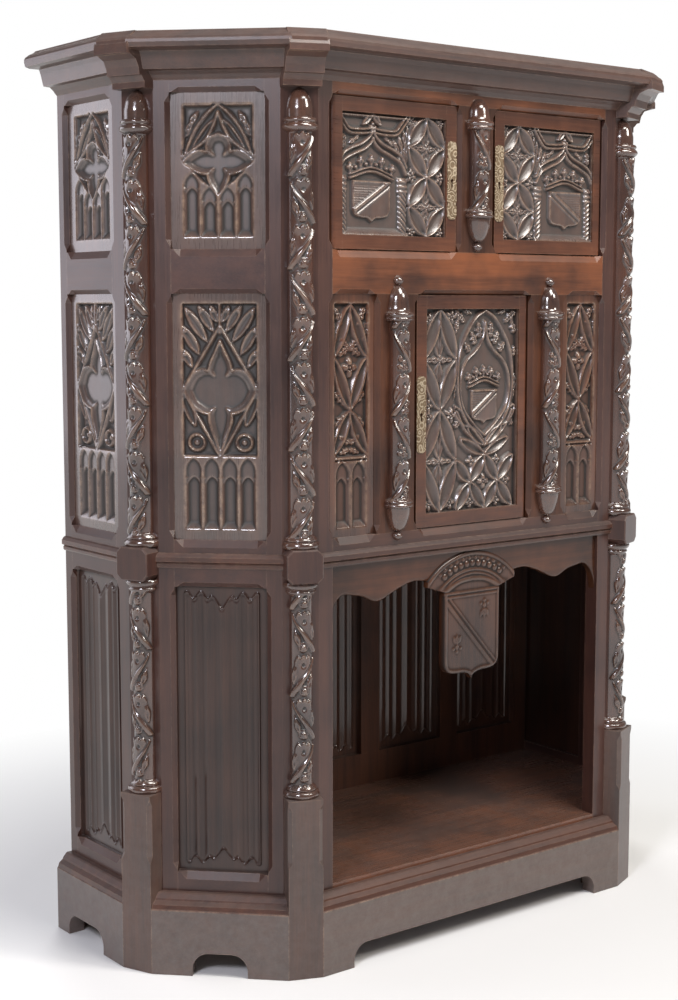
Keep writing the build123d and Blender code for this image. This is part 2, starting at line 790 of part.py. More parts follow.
foot_blocks = [front_foot_block, side_foot_block]
waist_stops = [front_block, side_block]
bed_stops = [front_break, side_break, front_nose, side_nose]
body_runs = (2 * front_end, 2 * cant_front_end, side_rear_end + side_front_end)
plinth_strips = mouldings(plinth_profile, foot_blocks, front_run, cant_run, side_run)
waist_strips = mouldings(waist_profile, waist_stops, *body_runs)
bed_strips = mouldings(bed_profile, bed_stops, *body_runs)


def plan_outline(offset, back, corner_half_width):
    """Plan of the whole cupboard, offset outwards, each corner cut between its break's sides."""
    left = []
    for face, end, place, half_turn in (
        (front_face, -front_end, front_corner, front_half_turn),
        (cant_face, -cant_rear_end, side_corner, side_half_turn),
    ):
        peak = facet_width / 2 * tan(half_turn) + offset / cos(half_turn)
        shoulder = -(peak - corner_half_width * tan(half_turn))
        left += [along(place, corner_half_width, shoulder), along(place, -corner_half_width, shoulder)]
    left.append((-half_body - offset, back))
    right = [(-x, y) for x, y in reversed(left)]
    return left + right


rear_wall = rear_line + plan_shift.Y
nose_cut = break_width / 2 - nose_lap
sections = []
for depth, level in stretched(edge_shape, top_overhang, body_top, top_board_thick):
    outline = plan_outline(-depth, rear_wall, nose_cut)
    sections.append(Pos(0, 0, level) * make_face(Polyline(*outline, close=True)))
top_board = loft(sections, ruled=True)
for corner_nose in (front_nose, side_nose):
    top_board += corner_nose
    top_board += mirrored(corner_nose)


def interior(depth, back):
    """Plan inside the frames, at a depth behind the body faces."""
    left = [
        along(front_face, -(front_end - depth * tan(front_half_turn)), depth),
        along(cant_face, -(cant_rear_end - depth * tan(side_half_turn)), depth),
        (-half_body + depth, back),
    ]
    return left + [(-x, y) for x, y in reversed(left)]


back_front = rear_wall - back_thick
inside = interior(frame_thick, back_front)
niche_under = niche_floor - floor_thick
niche_board = rise(inside, niche_under, niche_floor)
niche_board += front_face * board(-front_open, front_open, niche_under, niche_floor, 0, frame_thick + 1)
cupboard_floor = rise(inside, middle_sill - shelf_drop - shelf_thick, middle_sill - shelf_drop)
shelf = rise(inside, upper_sill - shelf_drop - shelf_thick, upper_sill - shelf_drop)

# ================================================================ rails and muntins
rail_base = body_base - rail_tuck
front_levels = {
    "front_floor_rail": (niche_under - front_floor_rail, niche_under),
    "front_waist_rail": (apron_top, middle_sill),
    "front_mid_rail": (middle_head, upper_sill),
    "front_top_rail": (upper_head, body_top),
}
end_levels = [
    (rail_base, linen_sill),
    (linen_head, middle_sill),
    (middle_head, upper_sill),
    (upper_head, body_top),
]
muntin_spans = [(-muntin_outer, -muntin_inner), (muntin_inner, muntin_outer)]


def end_rails(x_low, x_high, cutters):
    """The four rails of one end face, from plinth to cornice."""
    return [framed(board(x_low, x_high, *level, 0, frame_thick), cutters) for level in end_levels]


# ================================================================ doors
hinge_radius = door_thick / 2
pivot_depth = door_setback + hinge_radius
bolt_front = door_setback + door_thick - lock_thick + (lock_thick - bolt_thick) / 2


def door(x_low, x_high, z_low, z_high, key_level, field, field_middle):
    """Door hung on its low-x edge: frame, panel, plate, lock case and bolt, in the axes of the front."""
    left = x_low + door_gap
    right = x_high - door_gap
    bottom = z_low + door_gap
    top = z_high - door_gap
    back = door_setback + door_thick
    pivot = Pos(left + hinge_radius, pivot_depth, 0)
    inner = (left + door_stile, right - door_stile, bottom + door_rail, top - door_rail)

    hinge_stile = pivot * Pos(0, 0, bottom) * Cylinder(hinge_radius, top - bottom, align=upward)
    hinge_stile += board(left + hinge_radius, inner[0], bottom, top, door_setback, back)
    lock_stile = board(inner[1], right, bottom, top, door_setback, back)
    low_rail = board(inner[0], inner[1], bottom, inner[2], door_setback, back)
    high_rail = board(inner[0], inner[1], inner[3], top, door_setback, back)

    face = door_setback + door_lip
    case_low = key_level - lock_height / 2
    case_high = key_level + lock_height / 2
    case_front = back - lock_thick
    grown = panel_lap + panel_play
    rebate = board(inner[0] - grown, inner[1] + grown, inner[2] - grown, inner[3] + grown, face, back + 1)
    case_space = board(right - lock_width, right + 1, case_low, case_high, case_front, back + 1)
    key_way = Pos(right - lock_backset, 0, key_level) * Rot(90, 0, 0) * Cylinder(key_radius, 4 * door_thick)
    key_way += board(
        right - lock_backset - key_radius * 0.5,
        right - lock_backset + key_radius * 0.5,
        key_level - 3.4 * key_radius,
        key_level,
        -2 * door_thick,
        2 * door_thick,
    )
    pin_bore = Cylinder(pin_radius + pin_clearance, pin_depth + 2, align=upward)
    hinge_stile -= pivot * Pos(0, 0, bottom - 2) * pin_bore
    hinge_stile -= pivot * Pos(0, 0, top - pin_depth) * pin_bore
    members = (hinge_stile, lock_stile, low_rail, high_rail)
    frame = [member - rebate - case_space - key_way for member in members]

    panel = panel_board(*inner, front=face, thick=back - face)
    panel -= case_space
    panel -= key_way
    cut = field(inner[1] - inner[0], inner[3] - inner[2])
    panel -= carved(cut, field_middle(inner), (inner[2] + inner[3]) / 2, face)

    bolt_level = key_level + bolt_rise
    case = board(right - lock_width, right, case_low, case_high, case_front, back)
    case -= board(
        right - bolt_length - bolt_clearance,
        right + 1,
        bolt_level - bolt_height / 2 - bolt_clearance,
        bolt_level + bolt_height / 2 + bolt_clearance,
        bolt_front - bolt_clearance,
        bolt_front + bolt_thick + bolt_clearance,
    )
    case -= key_way
    bolt = board(
        right - bolt_length, right, bolt_level - bolt_height / 2, bolt_level + bolt_height / 2,
        bolt_front, bolt_front + bolt_thick,
    )

    plate_middle = right - max(lock_backset, plate_width / 2)
    outline = Rectangle(plate_width, plate_height)
    outline = fillet(outline.vertices(), plate_width * 0.4)
    for rung in (-0.3, 0, 0.3):
        for edge in (-1, 1):
            outline -= Pos(edge * plate_width * 0.62, rung * plate_height) * Circle(plate_width * 0.2)
    plate = slab(Pos(plate_middle, key_level) * outline, door_setback - plate_thick, door_setback) - key_way
    return {
        "frame": [member.solid() for member in frame],
        "panel": [largest(panel)],
        "plate": [plate.solid()],
        "lock": [case.solid()],
        "bolt": [bolt],
    }


def centred(inner):
    """Middle of a field that fills its frame."""
    return (inner[0] + inner[1]) / 2


def upper_field(width, height):
    """Upper doors: crowned arms on the hinge side, a lattice on the lock side."""
    arms_width = width * 0.64
    lattice_width = width - arms_width - rib
    field = Pos(-width / 2 + arms_width / 2, 0) * arms_field(arms_width, height)
    return field + Pos(width / 2 - lattice_width / 2, 0) * lattice(lattice_width, height, 2)


def turned_field(width, height):
    """Centre door, built as if it hung on the left and then mirrored."""
    return mirror(centre_field(width, height), about=Plane.YZ)


upper_key = upper_sill + upper_opening * 0.49
centre_key = middle_sill + middle_opening * 0.49
door_left = door(-front_open, -half_muntin, upper_sill, upper_head, upper_key, upper_field, centred)
door_centre = door(-muntin_inner, muntin_inner, middle_sill, middle_head, centre_key, turned_field, centred)
doors = {
    "left": door_left,
    "right": {name: [mirrored(solid) for solid in solids] for name, solids in door_left.items()},
    "centre": {name: [mirrored(solid) for solid in solids] for name, solids in door_centre.items()},
}


def pivot_pins(x_edge, z_low, z_high):
    """Foot pin with its collar, and head pin, of a door whose hinge edge is at the given side."""
    place = Pos(x_edge, pivot_depth, 0)
    pin = Cylinder(pin_radius, 2 * pin_depth + door_gap - pin_end_gap, align=upward)
    foot = Pos(0, 0, z_low - pin_depth) * pin
    foot += Pos(0, 0, z_low) * Cylinder(collar_radius, door_gap - collar_clearance, align=upward)
    head = Pos(0, 0, z_high - pin_depth - door_gap + pin_end_gap) * pin
    return [place * foot, place * head]


pivot_left = -front_open + door_gap + hinge_radius
pivot_centre = muntin_inner - door_gap - hinge_radius
pins = []
for edge, low, high in (
    (pivot_left, upper_sill, upper_head),
    (-pivot_left, upper_sill, upper_head),
    (pivot_centre, middle_sill, middle_head),
):
    pins += pivot_pins(edge, low, high)


def keeper(x_edge, side, level):
    """Mortise in a muntin for a bolt thrown towards the given side."""
    reach = door_gap + bolt_throw + 1
    low = min(x_edge, x_edge + side * reach)
    tall = bolt_height / 2 + 1
    return board(
        low, low + reach, level + bolt_rise - tall, level + bolt_rise + tall,
        bolt_front - 0.5, bolt_front + bolt_thick + 0.5,
    )


front_cutters += pins
front_cutters.append(keeper(-half_muntin, 1, upper_key))
front_cutters.append(keeper(half_muntin, -1, upper_key))
front_cutters.append(keeper(-muntin_inner, -1, centre_key))

# ================================================================ apron and its shield
peak_reach = front_open * outer_peak_place
half_scallops = [
    (front_open * inner_peak_place, apron_top - apron_inner_peak),
    (front_open * cusp_place, apron_top - apron_cusp),
    (peak_reach, apron_top - apron_outer_peak),
]
scallops = [(-x, z) for x, z in reversed(half_scallops)]
scallops += [(0, apron_top - apron_cusp)] + half_scallops
end_level = apron_top - apron_end
left_peak = scallops[0]
right_peak = scallops[-1]
apron_face = make_face([
    Spline((-front_open, end_level), left_peak, tangents=((0, 1), (1, 0))),
    Spline(*scallops, tangents=((1, 0), (1, 0))),
    Spline(right_peak, (front_open, end_level), tangents=((1, 0), (0, -1))),
    Line((front_open, end_level), (front_open, apron_top)),
    Line((front_open, apron_top), (-front_open, apron_top)),
    Line((-front_open, apron_top), (-front_open, end_level)),
])

crown_top = apron_top - crown_margin
shield_top = crown_top - crown_rise
crown_shoulder = crown_top - crown_sag
half_crown = crown_span / 2
half_shield = shield_width / 2
crown_face = make_face([
    ThreePointArc((-half_crown, crown_shoulder), (0, crown_top), (half_crown, crown_shoulder)),
    Line((half_crown, crown_shoulder), (half_crown, crown_shoulder - crown_end)),
    Line((half_crown, crown_shoulder - crown_end), (half_shield, shield_top)),
    Line((half_shield, shield_top), (-half_shield, shield_top)),
    Line((-half_shield, shield_top), (-half_crown, crown_shoulder - crown_end)),
    Line((-half_crown, crown_shoulder - crown_end), (-half_crown, crown_shoulder)),
])
arms = crown_face + Pos(0, shield_top) * accolade_shield(shield_width, shield_height)
bend_start = (-shield_width * 0.46, shield_top - shield_height * 0.06)
bend_end = (shield_width * 0.42, shield_top - shield_height * 0.84)
bend = bar(bend_start, bend_end, bend_width)
bend = bend & (Pos(0, shield_top) * accolade_shield(shield_width * 0.94, shield_height * 0.94))

shield_back = shield_setback + shield_thick
arms_front = shield_setback - arms_relief
apron_shield = slab(arms, shield_setback, shield_back)
apron_shield += slab(bend, arms_front, shield_setback)
crown_radius = (half_crown**2 + crown_sag**2) / (2 * crown_sag)
pearl_reach = crown_radius - pearl_inset
for index in range(pearl_count):
    angle = radians((index - (pearl_count - 1) / 2) * pearl_spread)
    centre = (pearl_reach * sin(angle), crown_top - crown_radius + pearl_reach * cos(angle))
    apron_shield += slab(Pos(*centre) * Circle(pearl_radius), arms_front, shield_setback)
apron = slab(apron_face, apron_setback, apron_setback + apron_thick)
apron -= slab(arms, shield_setback - 1, apron_setback + apron_thick + 1)

# ================================================================ back
back_low = rail_base
back_head = linen_head
back_sill = niche_floor + back_bottom_rail
back_clear = 2 * (inner_half - back_stile) - (back_panel_count - 1) * back_muntin
back_panel_width = back_clear / back_panel_count
back_pitch = back_panel_width + back_muntin
back_reach = (back_panel_count - 1) / 2 * back_pitch
back_spans = []
for index in range(back_panel_count):
    middle = -back_reach + index * back_pitch
    back_spans.append((middle - back_panel_width / 2, middle + back_panel_width / 2))
back_cutters = [pocket(low, high, back_sill, back_head) for low, high in back_spans]
stile_edge = back_spans[-1][1]
back_members = [
    board(-inner_half, -stile_edge, 0, body_top, 0, back_thick),
    board(stile_edge, inner_half, 0, body_top, 0, back_thick),
    board(-stile_edge, stile_edge, back_low, back_sill, 0, back_thick),
    board(-stile_edge, stile_edge, back_head, back_head + back_rail, 0, back_thick),
    board(-stile_edge, stile_edge, body_top - back_rail, body_top, 0, back_thick),
]
for (_, low), (high, _) in zip(back_spans, back_spans[1:]):
    back_members.append(board(low, high, back_sill, back_head, 0, back_thick))
back_members = [back_face * framed(member, back_cutters) for member in back_members]

board_width = 2 * stile_edge / back_board_count
back_boards = []
for index in range(back_board_count):
    low = -stile_edge + index * board_width
    upright = board(low, low + board_width, back_head + back_rail, body_top - back_rail, 0, back_board_thick)
    back_boards.append(back_face * upright)


# ================================================================ panels
def field_panel(x_low, x_high, stage, sketch, margin_x, margin_z):
    """Carved panel behind one opening."""
    low, high = stages[stage]
    shape = sketch(x_high - x_low - 2 * margin_x, high - low - 2 * margin_z)
    cutter = carved(shape, (x_low + x_high) / 2, (low + high) / 2, panel_setback)
    return largest(panel_board(x_low, x_high, low, high) - cutter)


def pair(solid):
    """A piece and its fellow on the other end."""
    return [solid, mirrored(solid)]


cant_panels = {
    "upper": cant_face * field_panel(-cant_open, cant_open, "upper", tracery, end_margin, end_margin),
    "middle": cant_face * field_panel(-cant_open, cant_open, "middle", lozenge, end_margin, end_margin),
    "linenfold": cant_face * linenfold(-cant_open, cant_open, *stages["linenfold"]),
}
side_panels = {
    "upper": side_face * field_panel(side_low, side_high, "upper", tracery, end_margin, end_margin),
    "middle": side_face * field_panel(side_low, side_high, "middle", lozenge, end_margin, end_margin),
    "linenfold": side_face * linenfold(side_low, side_high, *stages["linenfold"]),
}
narrow_panel = field_panel(
    -front_open, -muntin_outer, "middle", narrow_field, narrow_margin, narrow_margin
)
back_panels = [
    back_face * linenfold(low, high, back_sill, back_head, back_panel_thick) for low, high in back_spans
]

# ================================================================ assembly
nodes = {
    "post_front_left": [post_front],
    "post_front_right": [mirrored(post_front)],
    "post_side_left": [post_side],
    "post_side_right": [mirrored(post_side)],
    "back_posts": pair(back_post),
    "pedestals": pair(front_foot_block) + pair(side_foot_block),
    "plinth_front": [front_face * plinth_front],
    "plinth_cants": pair(cant_face * plinth_cant),
    "plinth_sides": pair(side_face * plinth_side),
    "plinth_moulding": plinth_strips,
    "waist_moulding": waist_strips,
    "waist_blocks": pair(front_block) + pair(side_block),
    "cornice_moulding": bed_strips + pair(front_break) + pair(side_break),
    "top_board": [top_board.solid()],
    "niche_floor": [niche_board.solid()],
    "cupboard_floor": [cupboard_floor],
    "shelf": [shelf],
    "back_frame": back_members,
    "niche_back_panels": back_panels,
    "upper_back_boards": back_boards,
    "front_panels": pair(front_face * narrow_panel),
    "apron": [front_face * largest(apron)],
    "apron_shield": [front_face * apron_shield.solid()],
    "pivot_pins": [front_face * pin for pin in pins],
}
for name, (low, high) in front_levels.items():
    rail = board(-front_open, front_open, low, high, 0, frame_thick)
    nodes[name] = [front_face * framed(rail, front_cutters)]
upper_muntin = board(-half_muntin, half_muntin, upper_sill, upper_head, 0, frame_thick)
nodes["upper_muntin"] = [front_face * framed(upper_muntin, front_cutters)]
nodes["lower_muntins"] = [
    front_face * framed(board(low, high, middle_sill, middle_head, 0, frame_thick), front_cutters)
    for low, high in muntin_spans
]
nodes["cant_rails"] = []
for rail in end_rails(-cant_open, cant_open, cant_cutters):
    nodes["cant_rails"] += pair(cant_face * rail)
nodes["side_rails"] = []
for rail in end_rails(side_low, side_high, side_cutters):
    nodes["side_rails"] += pair(side_face * rail)
for stage in stages:
    nodes[f"cant_{stage}_panels"] = pair(cant_panels[stage])
    nodes[f"side_{stage}_panels"] = pair(side_panels[stage])

for corner, place in (("front", front_corner), ("side", side_corner)):
    shafts = [place * lower_shaft, place * upper_shaft]
    nodes[f"column_{corner}_left"] = shafts
    nodes[f"column_{corner}_right"] = [mirrored(shaft) for shaft in shafts]

colonnette_middle = (muntin_inner + muntin_outer) / 2
upper_colonnette = colonnette(
    upper_sill + upper_colonnette_foot,
    cornice_base - upper_colonnette_head,
    upper_colonnette_nut,
    0,
)
lower_colonnette = colonnette(
    middle_sill - lower_colonnette_foot,
    upper_sill - lower_colonnette_head,
    lower_colonnette_nut,
    lower_colonnette_knob,
)
nodes["colonnette_upper"] = [front_face * upper_colonnette]
nodes["colonnette_left"] = [front_face * Pos(-colonnette_middle, 0, 0) * lower_colonnette]
nodes["colonnette_right"] = [front_face * Pos(colonnette_middle, 0, 0) * lower_colonnette]

for name, pieces in doors.items():
    nodes[f"door_{name}_frame"] = [front_face * piece for piece in pieces["frame"]]
    nodes[f"door_{name}_panel"] = [front_face * piece for piece in pieces["panel"]]
    nodes[f"escutcheon_{name}"] = [front_face * piece for piece in pieces["plate"]]
    nodes[f"lock_{name}"] = [front_face * piece for piece in pieces["lock"]]
    nodes[f"bolt_{name}"] = [front_face * piece for piece in pieces["bolt"]]

for name, solids in nodes.items():
    export_step(Compound(label=name, children=list(solids)), f"parts/{name}.step")

pivot_place = front_face.position
for name, (edge, low, high) in {
    "left": (pivot_left, upper_sill, upper_head),
    "right": (-pivot_left, upper_sill, upper_head),
    "centre": (pivot_centre, middle_sill, middle_head),
}.items():
    print(f"pivot {name}: x {edge:.3f} y {pivot_place.Y + pivot_depth:.3f} z {low:.1f} to {high:.1f}")
print(f"front body face y {pivot_place.Y:.3f}, back frame y {back_front:.3f}, rear y {rear_wall:.3f}")
print(f"{len(nodes)} nodes")
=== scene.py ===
import bpy
import numpy as np
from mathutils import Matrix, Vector


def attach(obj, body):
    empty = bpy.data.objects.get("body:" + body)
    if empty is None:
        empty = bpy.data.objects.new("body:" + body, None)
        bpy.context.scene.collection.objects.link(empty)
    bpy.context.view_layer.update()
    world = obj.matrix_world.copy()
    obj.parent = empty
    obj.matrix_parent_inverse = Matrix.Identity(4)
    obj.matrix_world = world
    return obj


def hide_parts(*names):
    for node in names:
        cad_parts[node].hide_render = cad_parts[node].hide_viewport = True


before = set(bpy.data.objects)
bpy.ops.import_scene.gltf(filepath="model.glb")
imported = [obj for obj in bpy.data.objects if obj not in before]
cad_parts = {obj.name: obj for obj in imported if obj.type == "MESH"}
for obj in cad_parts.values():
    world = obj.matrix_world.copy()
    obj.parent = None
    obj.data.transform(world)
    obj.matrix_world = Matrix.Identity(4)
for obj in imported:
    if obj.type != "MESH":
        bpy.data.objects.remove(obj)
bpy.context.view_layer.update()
print("frame loaded,", len(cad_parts), "nodes")

# Lengths are in millimetres, in the axes of one face of the cupboard: along it, into it, and up.
# toRoom turns them into metres in the room.

# camera and lamps

studio = {
    "cameraPlace": (-2.0893, -2.4835, 1.1871),
    "cameraTurn": (83.293, 0, -37.774),
    "lens": 59.59,
    "sensor": 36,
    "lamps": {  # place, what it points at, size, watts, colour
        "ceilingLamp": ((0.2, -1.9, 3.9), (0, 0, 0.9), 1.5, 105, (1, 0.97, 0.92)),
        "sideLamp": ((-2.9, 3.6, 2), (-0.6, 0.1, 1), 3, 62, (0.92, 0.9, 1)),
        "leftLamp": ((-3.3, -1.9, 2.8), (-0.4, 0, 1), 0.8, 85, (0.9, 0.9, 1)),
        "frontLamp": ((1.7, -3.2, 3.3), (0.1, 0, 1), 0.9, 70, (1, 0.94, 0.86)),
        "rearLamp": ((1.6, 3.6, 2.6), (0, 0, 0.9), 2, 60, (1, 1, 1)),
    },
    "worldStrength": 0.2,
    "floorReach": 14,
    "floorDrop": 0.0005,  # just under the feet
    "floorColour": (0.86, 0.86, 0.86, 1),
    "white": (1, 1, 1, 1),
}


def newObject(name, data):
    made = bpy.data.objects.new(name, data)
    bpy.context.scene.collection.objects.link(made)
    return made


def makeCamera():
    camera = newObject("camera", bpy.data.cameras.new("camera"))
    camera.location = studio["cameraPlace"]
    camera.rotation_euler = [np.radians(angle) for angle in studio["cameraTurn"]]
    camera.data.lens = studio["lens"]
    camera.data.sensor_width = studio["sensor"]
    bpy.context.scene.camera = camera


def makeLamp(name, place, target, size, watts, colour):
    # square lamp whose -Z looks from its place at the target
    lamp = bpy.data.lights.new(name, "AREA")
    lamp.size = size
    lamp.energy = watts
    lamp.color = colour
    holder = newObject(name, lamp)
    holder.location = place
    holder.rotation_euler = (Vector(target) - Vector(place)).to_track_quat("-Z", "Y").to_euler()


makeCamera()
bpy.context.scene.view_settings.view_transform = "Standard"
for name, values in studio["lamps"].items():
    makeLamp(name, *values)
print("camera and lamps set")


# shader maths

class Value:
    # one output socket of a material, so that sums on it add Math nodes
    def __init__(self, finish, socket):
        self.finish = finish
        self.socket = socket

    def output(self, index):
        # another output of the same node
        return Value(self.finish, self.socket.node.outputs[index])

    def maths(self, operation, first, second, clamp=False):
        return self.finish.node("ShaderNodeMath", {0: first, 1: second}, operation=operation, use_clamp=clamp)

    def __add__(self, other):
        return self.maths("ADD", self, other)

    def __radd__(self, other):
        return self.maths("ADD", other, self)

    def __sub__(self, other):
        return self.maths("SUBTRACT", self, other)

    def __rsub__(self, other):
        return self.maths("SUBTRACT", other, self)

    def __mul__(self, other):
        return self.maths("MULTIPLY", self, other)

    def __rmul__(self, other):
        return self.maths("MULTIPLY", other, self)

    def clamped(self):
        return self.maths("ADD", self, 0, True)


class Finish:
    # a material and its nodes
    def __init__(self, name):
        self.material = bpy.data.materials.new(name)
        self.material.use_nodes = True
        self.tree = self.material.node_tree
        self.shader = self.tree.nodes["Principled BSDF"]

    def node(self, kind, sockets=None, output=0, **settings):
        made = self.tree.nodes.new(kind)
        for key, value in settings.items():
            setattr(made, key, value)
        for key, value in (sockets or {}).items():
            self.feed(made.inputs[key], value)
        return Value(self, made.outputs[output])

    def feed(self, socket, value):
        if isinstance(value, Value):
            self.tree.links.new(value.socket, socket)
        else:
            socket.default_value = value

    def mix(self, share, first, second):
        return self.node("ShaderNodeMix", {0: share, 6: first, 7: second}, 2, data_type="RGBA")

    def noise(self, place, scale, detail=3, roughness=0.5):
        sockets = {"Vector": place, "Scale": scale, "Detail": detail, "Roughness": roughness}
        return self.node("ShaderNodeTexNoise", sockets)

    def dress(self, colour, roughness, rises, strength, reach):
        # colour, roughness, and small bumps from the rises
        bump = self.node("ShaderNodeBump", {"Strength": strength, "Distance": reach, "Height": rises})
        for name, value in (("Base Color", colour), ("Roughness", roughness), ("Normal", bump)):
            self.feed(self.shader.inputs[name], value)


# finishes

oakColours = {
    "dark": (0.022, 0.0095, 0.0075, 1),
    "brown": (0.075, 0.031, 0.0185, 1),
    "red": (0.23, 0.068, 0.021, 1),
    "worn": (0.34, 0.22, 0.145, 1),
    # near black for hollows: dust, and painted shade
    "dust": (0.02, 0.017, 0.015, 1),
    "grey": (0.15, 0.128, 0.118, 1),
    "plum": (0.033, 0.0185, 0.0205, 1),
    "black": (0, 0, 0, 1),
}


def oak(name, grain, redness, wear, roughness, carved=False, grey=0, light=1, cool=0, dust=0.3, shine=0.5):
    # dark waxed oak: streaks along the grain, red blotches, pale rubbed edges, upward faces paler with dust and with
    # painted light from above, hollows darker with dust and with painted shade
    finish = Finish(name)
    place = finish.node("ShaderNodeTexCoord", output=3)
    parts = finish.node("ShaderNodeSeparateXYZ", {0: place})
    across = parts.maths("ABSOLUTE", parts, 0)  # both ends of the cupboard share one pattern
    folded = finish.node("ShaderNodeCombineXYZ", {0: across, 1: parts.output(1), 2: parts.output(2)})
    along = 0.05  # the pattern is stretched twenty times along the grain
    stretch = {"upright": (1, 1, along), "deep": (1, along, 1)}.get(grain, (along, 1, 1))
    turn = (0, 0, np.radians(45) if grain == "cant" else 0)
    drawn = finish.node("ShaderNodeMapping", {0: folded, 2: turn, 3: stretch})
    streaks = finish.noise(drawn, 330, 5, 0.65)
    bands = finish.noise(drawn, 42, 4, 0.6)
    blotches = finish.noise(folded, 5.2, 4, 0.6)
    scuffs = finish.noise(folded, 62, 4, 0.7)
    tone = (streaks * 1.5 + bands * 1.6 - 1.1).clamped()
    base = finish.mix(tone, oakColours["dark"], oakColours["brown"])
    reddish = ((blotches - 0.4) * 4 + 0.25).clamped() * redness
    base = finish.mix(reddish * (bands * 1.3 + streaks * 0.4 - 0.2).clamped(), base, oakColours["red"])
    normal = finish.node("ShaderNodeNewGeometry", output=1)
    upward = finish.node("ShaderNodeSeparateXYZ", {0: normal}, 2)
    if cool:
        base = finish.mix((blotches * 0.6 + 0.6).clamped() * cool, base, oakColours["plum"])
    if grey:
        base = finish.mix((scuffs * 0.8 + 0.25).clamped() * grey, base, oakColours["grey"])
    if carved:
        # worn is +1 on rubbed ridges and -1 in hollows; below zero it darkens the colour as dust and as painted
        # shade
        worn = finish.node("ShaderNodeAttribute", output=2, attribute_name="worn")
        hollow = (worn * -1).clamped()
        # painted shade: hollows mixed towards near black, together with the dust in them
        base = finish.mix(hollow * 0.9, base, oakColours["dust"])
        edge = worn.clamped() * (scuffs * 2.2 - 0.75).clamped() * wear
        dull = hollow * 0.36
    else:
        rounded = finish.node("ShaderNodeBevel", {0: 0.0028}, samples=4)
        likeness = finish.node("ShaderNodeVectorMath", {0: rounded, 1: normal}, 1, operation="DOT_PRODUCT")
        edge = ((1 - likeness) * 7).clamped() * (scuffs * 3 - 1.15).clamped() * wear
        dull = (upward * 2 - 0.6).clamped() * dust
    # upward faces mixed towards pale grey: dust, and a painted top light standing in for light falling from above
    dustAndTopLight = (upward * 1.6 - 0.5).clamped() * (scuffs * 0.4 + 0.05)
    base = finish.mix(dustAndTopLight, base, oakColours["grey"])
    base = finish.mix(edge, base, oakColours["worn"])
    if light < 1:
        base = finish.mix(1 - light, base, oakColours["black"])
    gloss = roughness + (streaks - 0.5) * 0.2 + (blotches - 0.5) * 0.25 + dull
    finish.dress(base, gloss.clamped(), streaks * 0.8 + scuffs * 0.2, 0.25, 0.0006)
    coat = blotches * 0.6 - dull * 3.4 + (0.45 if carved else -0.05)
    finish.feed(finish.shader.inputs["Coat Weight"], coat.clamped())
    finish.shader.inputs["Specular IOR Level"].default_value = shine
    finish.shader.inputs["Coat Roughness"].default_value = 0.13
    return finish.material


def brass(name):
    # dulled brass plate: pale rings round scattered points, worn into scrolls, on a brown ground
    finish = Finish(name)
    place = finish.node("ShaderNodeTexCoord", output=3)
    cells = finish.node("ShaderNodeTexVoronoi", {"Vector": place, "Scale": 66, "Randomness": 0.7})
    stains = finish.noise(place, 70, 4)
    rings = cells.maths("PINGPONG", cells + stains * 0.12, 0.12)
    scroll = (rings * 14 - 0.75).clamped()
    base = finish.mix(stains, (0.12, 0.075, 0.042, 1), (0.27, 0.195, 0.12, 1))
    base = finish.mix(scroll * 0.8, base, (0.62, 0.52, 0.38, 1))
    finish.dress(base, stains * 0.25 + 0.34, scroll, 0.5, 0.0005)
    finish.shader.inputs["Metallic"].default_value = 0.55
    return finish.material


def iron(name):
    # dark forged iron, brown with old rust in spots
    finish = Finish(name)
    spots = finish.noise(finish.node("ShaderNodeTexCoord", output=3), 120, 5)
    rust = ((spots - 0.52) * 7).clamped()
    base = finish.mix(rust, (0.045, 0.043, 0.042, 1), (0.11, 0.05, 0.028, 1))
    finish.dress(base, rust * 0.35 + 0.42, spots, 0.3, 0.0005)
    finish.feed(finish.shader.inputs["Metallic"], 0.9 - rust * 0.8)
    return finish.material


oakFinishes = {  # grain, redness, wear, roughness, and what else differs
    "uprights": ("upright", 0.3, 0.5, 0.36, {"cool": 0.5}),
    "rails": ("level", 0.95, 0.5, 0.34, {}),
    "lowRails": ("level", 0.45, 0.5, 0.34, {"cool": 0.3}),
    "cantRails": ("cant", 0.4, 0.5, 0.36, {"cool": 0.6}),
    "sideRails": ("deep", 0.3, 0.5, 0.4, {"cool": 0.5}),
    "doorFrames": ("level", 0.6, 0.5, 0.32, {"cool": 0.15}),
    "mouldings": ("level", 0.35, 0.6, 0.34, {"cool": 0.3}),
    "plinth": ("level", 0.15, 0.6, 0.38, {"grey": 0.85}),
    "feet": ("upright", 0.2, 0.6, 0.38, {"grey": 0.45}),
    "cornice": ("level", 0.3, 0.6, 0.36, {"grey": 0.25, "cool": 0.3}),
    "muntins": ("upright", 0.45, 0.3, 0.44, {"light": 0.65, "shine": 0.3}),
    "inside": ("upright", 0.3, 0.2, 0.45, {}),
    "boards": ("level", 0.85, 0.4, 0.26, {"grey": 0.2, "dust": 0}),
}
carvedFinishes = {
    "carving": ("upright", 0.2, 0.9, 0.28, {"grey": 0.42, "shine": 0.75}),
    "frontCarving": ("upright", 0.5, 0.9, 0.3, {"grey": 0.1, "light": 0.85, "shine": 0.4}),
    "turning": ("upright", 0.5, 0.6, 0.17, {"light": 0.8, "cool": 0.35, "shine": 0.95}),
    "apron": ("level", 0.8, 0.2, 0.46, {"light": 0.45, "shine": 0.15}),
    "shield": ("upright", 0.6, 0.4, 0.3, {"light": 0.5, "shine": 0.3}),
    "linen": ("upright", 0.3, 0.1, 0.38, {"light": 0.6, "cool": 0.3, "shine": 0.3}),
    "insideCarving": ("upright", 0.3, 0.15, 0.45, {}),
}
finishes = {"brass": brass("engravedBrass"), "iron": iron("forgedIron")}
for carved, rows in ((False, oakFinishes), (True, carvedFinishes)):
    for name, (*values, more) in rows.items():
        finishes[name] = oak("oak" + name[0].upper() + name[1:], *values, carved, **more)
print("finishes made")

